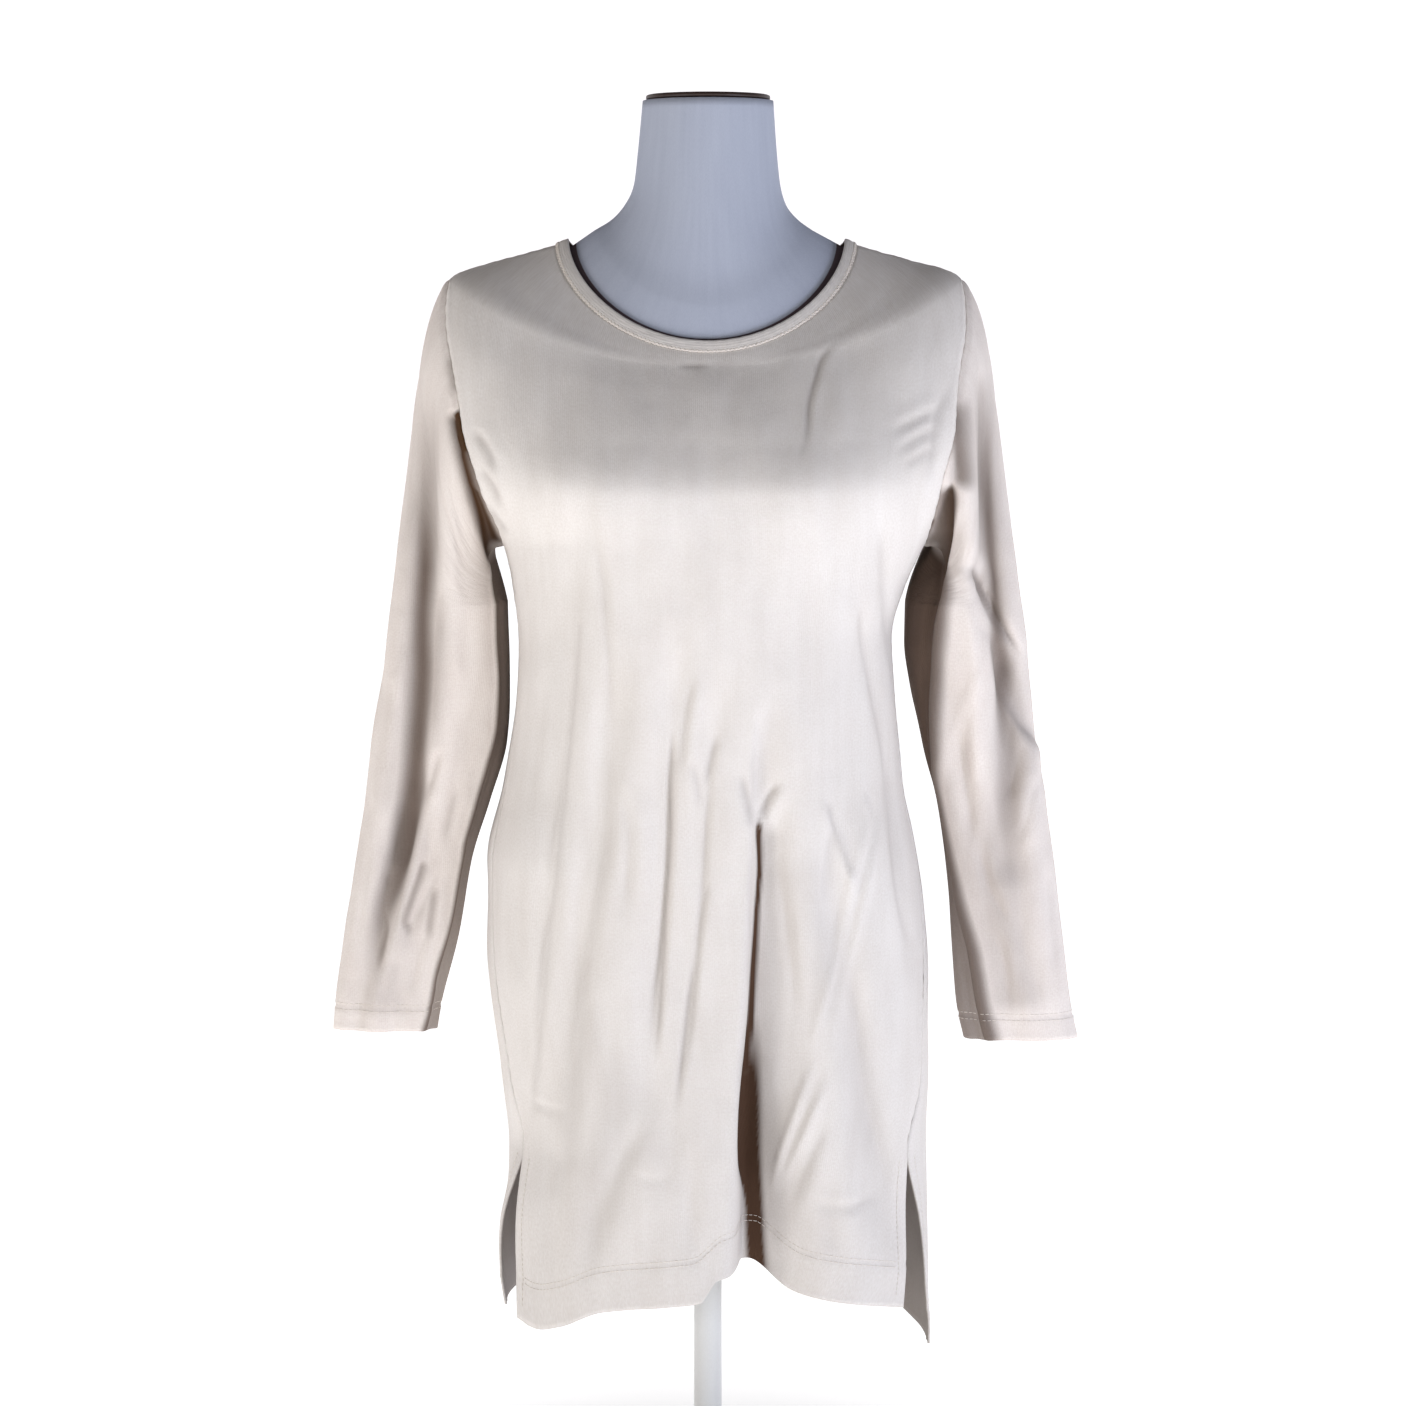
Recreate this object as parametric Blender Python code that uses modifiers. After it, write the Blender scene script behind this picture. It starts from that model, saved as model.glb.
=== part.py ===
"""Long-sleeved jersey tunic top, worn by a limbless dress form on a low counter stand.

Metres, +Z up. The front faces -Y and the wearer's right arm is at -X. The origin is the
middle of the stand's underside. The tables below are in millimetres, and their heights
are those of the garment, which the stand holds up by LIFT.
"""

import math
from functools import lru_cache
from typing import NamedTuple

import bmesh
import bpy
from mathutils import Vector

MM = 0.001

# Cloth and seams
CLOTH = 1.6
BINDING = 2.4
BINDING_WIDTH = 11.0
SEAM_GAP = 0.3
FORM_INSET = 1.6

# Mesh density
FRONT_COLUMNS = 38
BACK_COLUMNS = 26
BODY_ROWS = 17
ARMHOLE_ROWS = 8
BINDING_COLUMNS = 48
CAP_RINGS = 7
TUBE_RINGS = 12
FORM_COLUMNS = 32

# Form and stand
LIFT = 85.0
ARMHOLE_PLATE_RISE = 4.0
BASE_RADIUS = 125.0
BASE_HEIGHT = 9.0
BASE_EDGE = 2.5
POLE_RADIUS = 11.0
FLANGE_RADIUS = 45.0
FLANGE_HEIGHT = 6.0
FORM_BOTTOM_Z = 292.0
FORM_BOTTOM_LEVEL = 3.4
NECK_CAP_RADIUS = 47.5
NECK_CAP_HEIGHT = 4.5
ROUND_SIDES = 40

# Armholes, as a notch cut into the rings between the armpit and the shoulder tip
ARMPIT, SHOULDER_TIP, PANEL_TOP, NECK_EDGE = 10, 14, 16, 17
FRONT_NOTCH = math.radians(28.0)
BACK_NOTCH = math.radians(23.0)
NOTCH_ROUNDNESS = 0.55

# Side vents, which open below this level
VENT_TOP = 2


class Level(NamedTuple):
    """A ring of cloth round the body, at its sides, its front and its back."""

    side_z: float
    front_z: float
    back_z: float
    left_x: float
    right_x: float
    side_y: float
    front_y: float
    back_y: float
    squareness: float
    drop_power: float
    left_seam: float
    right_seam: float


LEVELS = (
    # hem, middle of the vents, top of the vents
    Level(60, 60, 60, -160, 174, 2, -120, 116, 2.2, 1.5, 68, 63),
    Level(125, 125, 125, -158, 173, 2, -119, 115, 2.2, 1.5, 68, 63),
    Level(191, 191, 191, -156, 171, 3, -118, 114, 2.2, 1.5, 68, 63),
    # thigh, hip, high hip
    Level(252, 252, 252, -163, 173, 4, -117, 115, 2.2, 1.5, 70, 72),
    Level(345, 345, 345, -172, 171, 4, -117, 116, 2.25, 1.5, 73, 77),
    Level(411, 411, 411, -172, 164, 4, -119, 110, 2.3, 1.5, 75, 80),
    # belly, waist, under the bust
    Level(474, 474, 474, -159, 151, 4, -122, 99, 2.3, 1.5, 77, 82),
    Level(537, 537, 537, -149, 145, 4, -126, 90, 2.35, 1.5, 79, 83),
    Level(587, 587, 587, -146, 142, 4, -129, 88, 2.4, 1.5, 81, 84),
    Level(625, 627, 625, -150, 151, 4, -132, 91, 2.4, 1.5, 84, 86),
    # armpit, bust, and two rings across the chest
    Level(658, 664, 661, -157, 166, 4, -135, 96, 2.4, 1.5, 90, 90),
    Level(706, 702, 716, -185, 189, 4, -137, 101, 2.4, 1.5, 90, 90),
    Level(761, 742, 770, -208, 208, 5, -122, 103, 2.3, 1.6, 90, 90),
    Level(818, 774, 812, -212, 209, 7, -102, 94, 2.25, 1.8, 90, 90),
    # shoulder tip, middle of the shoulder, top of the panels, edge of the neckline
    Level(863, 797, 843, -198, 194, 8, -84, 78, 2.2, 1.8, 90, 90),
    Level(878, 802, 853, -155, 152, 6, -81, 66, 2.1, 1.4, 90, 90),
    Level(889, 807, 862, -117, 114, 4, -78, 55, 2.0, 1.2, 90, 90),
    Level(893, 816, 868, -107, 105, 3, -74, 50, 2.0, 1.2, 90, 90),
)


class Slack(NamedTuple):
    """Room between the cloth and the dress form at one level."""

    level: float
    side: float
    front: float
    back: float


SLACKS = (
    Slack(3, 16, 40, 30),
    Slack(4, 5, 30, 20),
    Slack(5, 1.0, 19, 9),
    Slack(6, 1.0, 19, 14),
    Slack(7, 1.5, 26, 18),
    Slack(8, 1.5, 28, 20),
    Slack(9, 1.5, 22, 15),
    Slack(10, 0.5, 11, 7),
    Slack(11, 0.0, 0.5, 3),
    Slack(12, 1.0, 0.0, 0.5),
    Slack(13, 3.0, 0.0, 0.0),
    Slack(14, 3.0, 0.0, 0.0),
    Slack(15, 0.0, 0.0, 0.0),
    Slack(17, 0.0, 0.0, 0.0),
)


class NeckRing(NamedTuple):
    """A ring of the form's neck, above the tunic's neckline."""

    side_z: float
    front_z: float
    back_z: float
    left_x: float
    right_x: float
    front_y: float
    back_y: float


NECK_RINGS = (
    NeckRing(900, 840, 881, -87, 80, -67, 48),
    NeckRing(908, 864, 892, -74, 69, -61, 46),
    NeckRing(919, 890, 906, -64, 60, -58, 46),
    NeckRing(934, 920, 926, -57, 55.5, -55.5, 47),
    NeckRing(962, 960, 961, -53.5, 52.5, -53, 48),
    NeckRing(998, 998, 998, -50, 50, -51, 47),
)


class HemPoint(NamedTuple):
    """Height of the hem at one turn round the body, in degrees from the front."""

    turn: float
    z: float


FRONT_HEM = (
    HemPoint(-65, 60),
    HemPoint(-54, 57),
    HemPoint(-43, 63),
    HemPoint(-28, 79),
    HemPoint(-5, 94),
    HemPoint(3, 109),
    HemPoint(11, 112),
    HemPoint(23, 91),
    HemPoint(39, 82),
    HemPoint(58, 72),
)
BACK_HEM = (
    HemPoint(86, 27),
    HemPoint(106, 32),
    HemPoint(126, 47),
    HemPoint(150, 64),
    HemPoint(180, 70),
    HemPoint(225, 66),
    HemPoint(274, 60),
)


class VentEdge(NamedTuple):
    """Turn of one vent edge at the hem, and how far its middle swings outward."""

    hem_turn: float
    flare: float


VENTS = {
    ("front", -1): VentEdge(66, 2),
    ("front", 1): VentEdge(58, 0),
    ("back", -1): VentEdge(84, 9),
    ("back", 1): VentEdge(86, 2),
}


class Fold(NamedTuple):
    """A fold in a panel, from its top to its foot.

    A negative depth stands outward. A positive lean makes the left side the steeper one.
    """

    top_x: float
    top_z: float
    foot_x: float
    foot_z: float
    top_width: float
    foot_width: float
    top_depth: float
    foot_depth: float
    lean: float = 0.0


FRONT_FOLDS = (
    # the deep valley right of the middle, and the lobes at its sides
    Fold(36, 485, 24, 60, 13, 32, 4, 60, 0.22),
    Fold(-8, 300, -12, 60, 24, 34, 1, -6),
    Fold(88, 300, 86, 60, 26, 36, 1, -7),
    # the falls from the left of the bust
    Fold(-73, 530, -116, 220, 13, 15, 6, 7),
    Fold(-26, 545, -44, 265, 12, 13, 6, 6),
    Fold(3, 520, -26, 230, 11, 12, 4, 3),
    Fold(-97, 660, -139, 205, 14, 13, 3, 5),
    # the falls on the right
    Fold(50, 440, 68, 290, 12, 14, 5, 4),
    Fold(101, 380, 132, 170, 14, 16, 5, 8),
    Fold(112, 560, 96, 390, 16, 14, 3, 4),
)
BACK_FOLDS = (
    Fold(-62, 520, -78, 70, 16, 26, 4, 22),
    Fold(8, 560, 14, 70, 17, 26, 4, 20),
    Fold(70, 500, 92, 60, 16, 26, 4, 24),
    Fold(-28, 360, -32, 70, 22, 30, 1, -7),
    Fold(48, 360, 52, 66, 22, 30, 1, -7),
    Fold(-112, 600, -128, 240, 14, 16, 4, 6),
    Fold(116, 590, 134, 240, 14, 16, 4, 6),
)
FOLD_FADE = 70.0
FOLD_GROWTH = 1.3
FOLD_ROUNDNESS = 2.3
SIDE_FADE = 0.3

# Steps across which the slope of the cloth is read
TURN_STEP, LEVEL_STEP = math.radians(1.5), 0.08

# Bust, as two soft swellings of the chest
BUST_X, BUST_Z = 84.0, 702.0
BUST_SPREAD, BUST_RISE = 48.0, 7.0


class SleeveRing(NamedTuple):
    """A level ring of a hanging sleeve."""

    z: float
    outer_x: float
    inner_x: float
    middle_y: float
    half_depth: float


LEFT_SLEEVE = (
    SleeveRing(614, -245.0, -156.0, 6, 47),
    SleeveRing(552, -253.5, -155.0, 5, 43),
    SleeveRing(505, -261.5, -157.5, 4, 40),
    SleeveRing(458, -267.5, -170.5, 2, 37),
    SleeveRing(411, -275.0, -185.0, 0, 33),
    SleeveRing(355, -283.5, -195.5, -3, 28),
    SleeveRing(300, -291.0, -209.0, -5, 23),
    SleeveRing(280, -293.0, -212.5, -6, 21),
)
RIGHT_SLEEVE = (
    SleeveRing(614, 242.5, 154.0, 6, 47),
    SleeveRing(583, 247.0, 153.5, 6, 45),
    SleeveRing(552, 250.5, 157.5, 5, 43),
    SleeveRing(505, 256.5, 167.5, 4, 40),
    SleeveRing(458, 263.5, 178.5, 2, 37),
    SleeveRing(411, 269.5, 186.5, 0, 33),
    SleeveRing(355, 276.5, 191.0, -3, 28),
    SleeveRing(300, 284.0, 195.5, -5, 23),
    SleeveRing(273, 289.0, 201.0, -6, 21),
)
SLEEVE_SQUARENESS = 2.15
UNDERARM_ROOM = 7.0


class SleeveFold(NamedTuple):
    """A fold in a sleeve; its turns are in degrees from the outer side, front first."""

    top_turn: float
    top_z: float
    foot_turn: float
    foot_z: float
    width: float
    depth: float


LEFT_SLEEVE_FOLDS = (
    SleeveFold(74, 800, 66, 440, 20, 9),
    SleeveFold(78, 470, 52, 290, 20, 6),
    SleeveFold(122, 520, 106, 290, 18, 5),
    SleeveFold(262, 760, 250, 400, 22, 7),
    SleeveFold(300, 420, 310, 290, 22, 4),
)
RIGHT_SLEEVE_FOLDS = (
    SleeveFold(66, 820, 70, 640, 20, 9),
    SleeveFold(84, 640, 22, 520, 16, 8),
    SleeveFold(50, 560, 82, 420, 22, 7),
    SleeveFold(118, 540, 104, 290, 18, 5),
    SleeveFold(262, 760, 250, 400, 22, 7),
)

# Colour, roughness and metallic value of each material
FINISHES = {
    "cotton_jersey": ((0.80, 0.76, 0.71), 0.92, 0.0),
    "form_jersey": ((0.60, 0.66, 0.74), 0.9, 0.0),
    "stained_wood": ((0.10, 0.05, 0.035), 0.5, 0.0),
    "painted_steel": ((0.75, 0.75, 0.74), 0.4, 0.0),
}


def smoothstep(value):
    """Ease from 0 to 1 as the value runs from 0 to 1."""
    value = min(1.0, max(0.0, value))
    return value * value * (3.0 - 2.0 * value)


def monotone(points, at):
    """Read a smooth curve, with no overshoot, through (place, value) pairs."""
    places = [place for place, _ in points]
    values = [value for _, value in points]
    last = len(points) - 1
    at = min(max(at, places[0]), places[-1])
    index = max(i for i in range(last) if places[i] <= at or i == 0)
    slopes = [(values[i + 1] - values[i]) / (places[i + 1] - places[i]) for i in range(last)]

    def tangent(i):
        if i == 0 or i == last:
            return slopes[min(i, last - 1)]
        before, after = slopes[i - 1], slopes[i]
        if before * after <= 0.0:
            return 0.0
        return 2.0 * before * after / (before + after)

    span = places[index + 1] - places[index]
    part = (at - places[index]) / span
    rise = values[index + 1] - values[index]
    start, end = tangent(index) * span, tangent(index + 1) * span
    curve = 3.0 * rise - 2.0 * start - end
    return values[index] + part * (start + part * (curve + part * (start + end - 2.0 * rise)))


@lru_cache(maxsize=None)
def level_at(height):
    """Return the ring between two levels of the table."""
    columns = zip(*LEVELS)
    return Level(*(monotone(list(enumerate(column)), height) for column in columns))


def signed_power(value, power):
    """Raise a number's size to a power and keep its sign."""
    return math.copysign(abs(value) ** power, value)


def hem_z(turn):
    """Return the height of the hem at a turn round the body."""
    degrees = math.degrees(turn)
    if -75.0 < degrees < 75.0:
        return monotone(FRONT_HEM, degrees)
    return monotone(BACK_HEM, degrees % 360.0)


def fold_depth(folds, x, z):
    """Add up how far the folds of a panel draw a point inward."""
    depth = 0.0
    for fold in folds:
        along = (fold.top_z - z) / (fold.top_z - fold.foot_z)
        part = min(1.0, max(0.0, along))
        fade = smoothstep(1.0 - (z - fold.top_z) / FOLD_FADE)
        fade *= smoothstep(1.0 - (fold.foot_z - z) / FOLD_FADE)
        middle = fold.top_x + along * (fold.foot_x - fold.top_x)
        width = fold.top_width + part * (fold.foot_width - fold.top_width)
        most = fold.top_depth + part ** FOLD_GROWTH * (fold.foot_depth - fold.top_depth)
        width *= 1.0 + (fold.lean if x > middle else -fold.lean)
        depth += fade * most * math.exp(-abs((x - middle) / width) ** FOLD_ROUNDNESS)
    return depth


def body_point(height, turn):
    """Return a point of the smooth garment, before its folds."""
    ring = level_at(height)
    across, along = math.sin(turn), math.cos(turn)
    power = 2.0 / ring.squareness
    half_x = ring.right_x if across > 0.0 else -ring.left_x
    end_y, end_z = (ring.front_y, ring.front_z) if along > 0.0 else (ring.back_y, ring.back_z)
    x = half_x * signed_power(across, power)
    y = ring.side_y + (end_y - ring.side_y) * abs(along) ** power
    z = ring.side_z + (end_z - ring.side_z) * abs(along) ** ring.drop_power
    if along > 0.0:
        nearness = ((abs(x) - BUST_X) / BUST_SPREAD) ** 2 + ((z - BUST_Z) / BUST_SPREAD) ** 2
        y -= BUST_RISE * math.exp(-nearness) * along
    if height < VENT_TOP:
        z += (hem_z(turn) - LEVELS[0].side_z) * (1.0 - max(0.0, height) / VENT_TOP) ** 2
    return Vector((x, y, z))


def cloth_point(height, turn):
    """Return a point of the garment's middle surface, with its folds."""
    point = body_point(height, turn)
    folds = FRONT_FOLDS if math.cos(turn) > 0.0 else BACK_FOLDS
    ring = level_at(height)
    inward = Vector((-point.x / 170.0 ** 2, -(point.y - ring.side_y) / 120.0 ** 2, 0.0)).normalized()
    depth = fold_depth(folds, point.x, point.z) * smoothstep(abs(math.cos(turn)) / SIDE_FADE)
    return point + inward * depth


def outward(surface, height, turn):
    """Return the direction that points out of a surface of the garment."""
    along = surface(height, turn + TURN_STEP) - surface(height, turn - TURN_STEP)
    up = surface(height + LEVEL_STEP, turn) - surface(height - LEVEL_STEP, turn)
    return along.cross(up).normalized()


def notch(height, panel):
    """Return how far an armhole cuts into a panel, as a turn."""
    part = (height - ARMPIT) / (SHOULDER_TIP - ARMPIT)
    if not 0.0 < part < 1.0:
        return 0.0
    most = FRONT_NOTCH if panel == "front" else BACK_NOTCH
    return most * math.sin(math.pi * part) ** NOTCH_ROUNDNESS


def edge_turn(height, panel, side):
    """Return the turn, from the front, at which a panel ends on one side."""
    ring = level_at(height)
    seam = ring.left_seam if side < 0 else ring.right_seam
    if height < VENT_TOP:
        opened = 1.0 - height / VENT_TOP
        seam += opened * (VENTS[panel, side].hem_turn - seam)
    cut = notch(height, panel)
    return math.radians(seam) + (cut if panel == "back" else -cut)


def edge_point(height, panel, side):
    """Return a point on a panel's side edge, half a seam gap from its neighbour."""
    turn = side * edge_turn(height, panel, side)
    point = cloth_point(height, turn)
    backward = (cloth_point(height, turn + side * 0.01) - point).normalized()
    point += backward * SEAM_GAP / 2.0 * (1.0 if panel == "back" else -1.0)
    if height < VENT_TOP:
        point.x += side * VENTS[panel, side].flare * math.sin(math.pi * height / VENT_TOP)
    return point


def panel_heights():
    """List the rows of a panel, closer together beside the armholes."""
    below = [ARMPIT * row / BODY_ROWS for row in range(BODY_ROWS)]
    beside = [armhole_height(row) for row in range(ARMHOLE_ROWS + 1)]
    return below + beside + [SHOULDER_TIP + 1, PANEL_TOP]


def armhole_height(row):
    """Return the level of one row beside the armhole, from the armpit up."""
    part = 0.5 - 0.5 * math.cos(math.pi * row / ARMHOLE_ROWS)
    return ARMPIT + (SHOULDER_TIP - ARMPIT) * part


def panel_grid(panel, columns):
    """Work out the points of the front or back panel and their outward directions."""
    points, normals = [], []
    first, last = (-1, 1) if panel == "front" else (1, -1)
    for height in panel_heights():
        start = first * edge_turn(height, panel, first)
        end = last * edge_turn(height, panel, last)
        if panel == "back":
            end += 2.0 * math.pi
        turns = [start + (end - start) * i / columns for i in range(columns + 1)]
        row = [cloth_point(height, turn) for turn in turns]
        row[0], row[-1] = edge_point(height, panel, first), edge_point(height, panel, last)
        points.append(row)
        normals.append([outward(cloth_point, height, turn) for turn in turns])
    return points, normals


def armhole_loop(side):
    """List the armhole's edge, from the tip down the front and up the back."""
    loop = []
    for step in range(2 * ARMHOLE_ROWS):
        panel = "front" if step <= ARMHOLE_ROWS else "back"
        row = ARMHOLE_ROWS - step if panel == "front" else step - ARMHOLE_ROWS
        height = armhole_height(row)
        turn = side * edge_turn(height, panel, side)
        loop.append((cloth_point(height, turn), outward(cloth_point, height, turn)))
    return loop


def sleeve_ring_point(rings, z, turn):
    """Return a point of the hanging part of a sleeve."""
    at = -z
    outer = monotone([(-ring.z, ring.outer_x) for ring in rings], at)
    inner = monotone([(-ring.z, ring.inner_x) for ring in rings], at)
    middle = monotone([(-ring.z, ring.middle_y) for ring in rings], at)
    depth = monotone([(-ring.z, ring.half_depth) for ring in rings], at)
    power = 2.0 / SLEEVE_SQUARENESS
    x = (outer + inner) / 2.0 + (outer - inner) / 2.0 * signed_power(math.cos(turn), power)
    y = middle - depth * signed_power(math.sin(turn), power)
    return Vector((x, y, z))


def sleeve_fold_depth(folds, turn, z):
    """Add up how far the folds of a sleeve draw a point inward."""
    depth = 0.0
    for fold in folds:
        along = (fold.top_z - z) / (fold.top_z - fold.foot_z)
        fade = smoothstep(1.0 + along * 5.0) * smoothstep(1.0 + (1.0 - along) * 5.0)
        middle = fold.top_turn + along * (fold.foot_turn - fold.top_turn)
        away = (math.degrees(turn) - middle + 180.0) % 360.0 - 180.0
        depth += fade * fold.depth * math.exp(-(away / fold.width) ** 2)
    return depth


def bezier(stops, part):
    """Return a point of the curve that four stops steer."""
    rest = 1.0 - part
    weights = (rest ** 3, 3.0 * part * rest ** 2, 3.0 * part ** 2 * rest, part ** 3)
    return sum((stop * weight for stop, weight in zip(stops, weights)), Vector())


def cap_stops(rings, seam, leave, turn):
    """Return the stops of one line of a sleeve cap, from the armhole to the first ring."""
    outerness = (1.0 + math.cos(turn)) / 2.0
    reach = 10.0 + 14.0 * outerness + 14.0 * abs(math.sin(turn))
    drop = 26.0 + 124.0 * outerness ** 1.3
    end = sleeve_ring_point(rings, rings[0].z, turn)
    below = sleeve_ring_point(rings, rings[0].z - 20.0, turn)
    above = end + (end - below).normalized() * drop
    above.x += math.copysign(UNDERARM_ROOM, end.x) * (1.0 - outerness) ** 2
    return seam, seam + leave * reach, above, end


def sleeve_grid(side, rings, folds):
    """Loft a sleeve from its armhole over the cap and down to the cuff."""
    loop = armhole_loop(side)
    count = len(loop)
    points = [[] for _ in range(CAP_RINGS + TUBE_RINGS + 1)]
    for index, (seam, normal) in enumerate(loop):
        turn = 2.0 * math.pi * index / count
        along_edge = loop[(index + 1) % count][0] - loop[index - 1][0]
        onward = (along_edge.cross(normal) * -side).normalized()
        hang = Vector((side, -0.25 * math.sin(turn), -0.45)).normalized()
        leave = (onward + hang).normalized()
        stops = cap_stops(rings, seam + onward * SEAM_GAP, leave, turn)
        for row in range(CAP_RINGS):
            part = row / CAP_RINGS
            point = bezier(stops, part)
            depth = sleeve_fold_depth(folds, turn, point.z) * smoothstep(part * 1.6)
            points[row].append(drawn_in(point, sleeve_axis(rings, rings[0].z), depth))
        for row in range(TUBE_RINGS + 1):
            z = rings[0].z + (rings[-1].z - rings[0].z) * row / TUBE_RINGS
            point = sleeve_ring_point(rings, z, turn)
            depth = sleeve_fold_depth(folds, turn, z)
            points[CAP_RINGS + row].append(drawn_in(point, sleeve_axis(rings, z), depth))
    normals = ring_normals(points, side)
    normals[0] = [normal for _, normal in loop]
    return points, normals


def sleeve_axis(rings, z):
    """Return the middle of a sleeve at one height."""
    return (sleeve_ring_point(rings, z, 0.0) + sleeve_ring_point(rings, z, math.pi)) / 2.0


def drawn_in(point, axis, depth):
    """Move a point level towards an upright axis."""
    inward = Vector((axis.x - point.x, axis.y - point.y, 0.0)).normalized()
    return point + inward * depth


def ring_normals(points, side):
    """Return the outward directions of a grid of closed rings that run down a sleeve."""
    normals = []
    for row, ring in enumerate(points):
        above, below = points[max(0, row - 1)], points[min(len(points) - 1, row + 1)]
        count = len(ring)
        normals.append([])
        for i in range(count):
            along = ring[(i + 1) % count] - ring[i - 1]
            normals[-1].append((along.cross(below[i] - above[i]) * side).normalized())
    return normals


def slack_at(height, turn):
    """Return the room between the cloth and the form at one point."""
    front = monotone([(slack.level, slack.front) for slack in SLACKS], height)
    back = monotone([(slack.level, slack.back) for slack in SLACKS], height)
    side = monotone([(slack.level, slack.side) for slack in SLACKS], height)
    end = front if math.cos(turn) > 0.0 else back
    return side + (end - side) * abs(math.cos(turn)) ** 1.5


def form_point(height, turn):
    """Return a point of the form's torso, inside the cloth and flat in the armholes."""
    side = 1 if math.sin(turn) > 0.0 else -1
    from_front = abs((turn + math.pi) % (2.0 * math.pi) - math.pi)
    front_edge = edge_turn(height, "front", side)
    back_edge = edge_turn(height, "back", side)
    if ARMPIT < height < SHOULDER_TIP and front_edge < from_front < back_edge:
        part = (from_front - front_edge) / (back_edge - front_edge)
        ends = [form_skin(height, side * edge) for edge in (front_edge, back_edge)]
        point = ends[0].lerp(ends[1], part)
        opened = notch(height, "front") / FRONT_NOTCH
        point.x += side * ARMHOLE_PLATE_RISE * opened * math.sin(math.pi * part)
        return point
    return form_skin(height, turn)


def form_skin(height, turn):
    """Return the form's surface where the cloth lies over it."""
    inset = FORM_INSET + slack_at(height, turn)
    return body_point(height, turn) - outward(body_point, height, turn) * inset


def neck_point(ring, turn):
    """Return a point of the form's neck."""
    across, along = math.sin(turn), math.cos(turn)
    half_x = ring.right_x if across > 0.0 else -ring.left_x
    end_y, end_z = (ring.front_y, ring.front_z) if along > 0.0 else (ring.back_y, ring.back_z)
    z = ring.side_z + (end_z - ring.side_z) * abs(along) ** 1.3
    return Vector((half_x * across, end_y * abs(along), z))


def form_rows():
    """List the rings of the form, from its flat bottom to the top of its neck."""
    turns = [2.0 * math.pi * i / FORM_COLUMNS for i in range(FORM_COLUMNS)]
    steps = round((ARMPIT - FORM_BOTTOM_LEVEL) / 0.6)
    heights = [FORM_BOTTOM_LEVEL + (ARMPIT - FORM_BOTTOM_LEVEL) * i / steps for i in range(steps)]
    heights += [armhole_height(row) for row in range(ARMHOLE_ROWS + 1)]
    heights += [SHOULDER_TIP + 1, PANEL_TOP, NECK_EDGE]
    rows = [[form_point(height, turn) for turn in turns] for height in heights]
    for point in rows[0]:
        point.z = FORM_BOTTOM_Z
    rows += [[neck_point(ring, turn) for turn in turns] for ring in NECK_RINGS]
    return rows


def binding_grid():
    """Work out the rings of the neck binding, from the panels' edge inward."""
    turns = [2.0 * math.pi * i / BINDING_COLUMNS for i in range(BINDING_COLUMNS)]
    first = PANEL_TOP + SEAM_GAP / BINDING_WIDTH
    heights = (first, (first + NECK_EDGE) / 2.0, NECK_EDGE)
    points = [[body_point(height, turn) for turn in turns] for height in heights]
    normals = [[outward(body_point, height, turn) for turn in turns] for height in heights]
    return points, normals


def make_material(name):
    """Make one Principled material from the table of finishes."""
    colour, roughness, metallic = FINISHES[name]
    material = bpy.data.materials.new(name)
    material.use_nodes = True
    shader = material.node_tree.nodes["Principled BSDF"]
    shader.inputs["Base Color"].default_value = (*colour, 1.0)
    shader.inputs["Roughness"].default_value = roughness
    shader.inputs["Metallic"].default_value = metallic
    material.diffuse_color = (*colour, 1.0)
    return material


def add_object(name, mesh, collection, material):
    """Put a mesh into the scene as one named sub-part with its own material."""
    own = make_material(material)
    own.name = f"{name}_{material}"
    mesh.materials.append(own)
    made = bpy.data.objects.new(name, mesh)
    collection.objects.link(made)
    return made


def lifted(point):
    """Raise a point of the tables to its height above the stand's underside, in metres."""
    return (point + Vector((0.0, 0.0, LIFT))) * MM


def join_rows(bm, lower, upper, closed):
    """Skin the strip between two rows of vertices."""
    wide = len(lower)
    for i in range(wide if closed else wide - 1):
        j = (i + 1) % wide
        bm.faces.new((lower[i], lower[j], upper[j], upper[i]))


def finish_mesh(bm, name, collection, material):
    """Turn a closed skin outward and make it a smooth named object."""
    bmesh.ops.recalc_face_normals(bm, faces=bm.faces)
    mesh = bpy.data.meshes.new(name)
    bm.to_mesh(mesh)
    bm.free()
    mesh.shade_smooth()
    mesh.set_sharp_from_angle(angle=math.radians(50.0))
    return add_object(name, mesh, collection, material)


def loft(name, rows, collection, material):
    """Skin closed rings of points from a flat bottom to a flat top."""
    bm = bmesh.new()
    grid = [[bm.verts.new(lifted(point)) for point in row] for row in rows]
    for lower, upper in zip(grid, grid[1:]):
        join_rows(bm, lower, upper, closed=True)
    bm.faces.new(grid[0])
    bm.faces.new(grid[-1])
    finish_mesh(bm, name, collection, material)


def cloth_wall(name, grid, thickness, collection, material, closed):
    """Loft a wall of cloth, half its thickness on each side of a grid of points.

    Both sides of a seam share their outward directions, so their edges stay parallel.
    """
    bm = bmesh.new()
    skins = []
    for half in (thickness / 2.0, -thickness / 2.0):
        pairs = (zip(points, normals) for points, normals in zip(*grid))
        skin = [[bm.verts.new(lifted(p + n * half)) for p, n in row] for row in pairs]
        for lower, upper in zip(skin, skin[1:]):
            join_rows(bm, lower, upper, closed)
        skins.append(skin)
    outer, inner = skins
    join_rows(bm, outer[0], inner[0], closed)
    join_rows(bm, outer[-1], inner[-1], closed)
    if not closed:
        for column in (0, -1):
            edges = ([row[column] for row in skin] for skin in skins)
            join_rows(bm, *edges, closed=False)
    finish_mesh(bm, name, collection, material)


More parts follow.
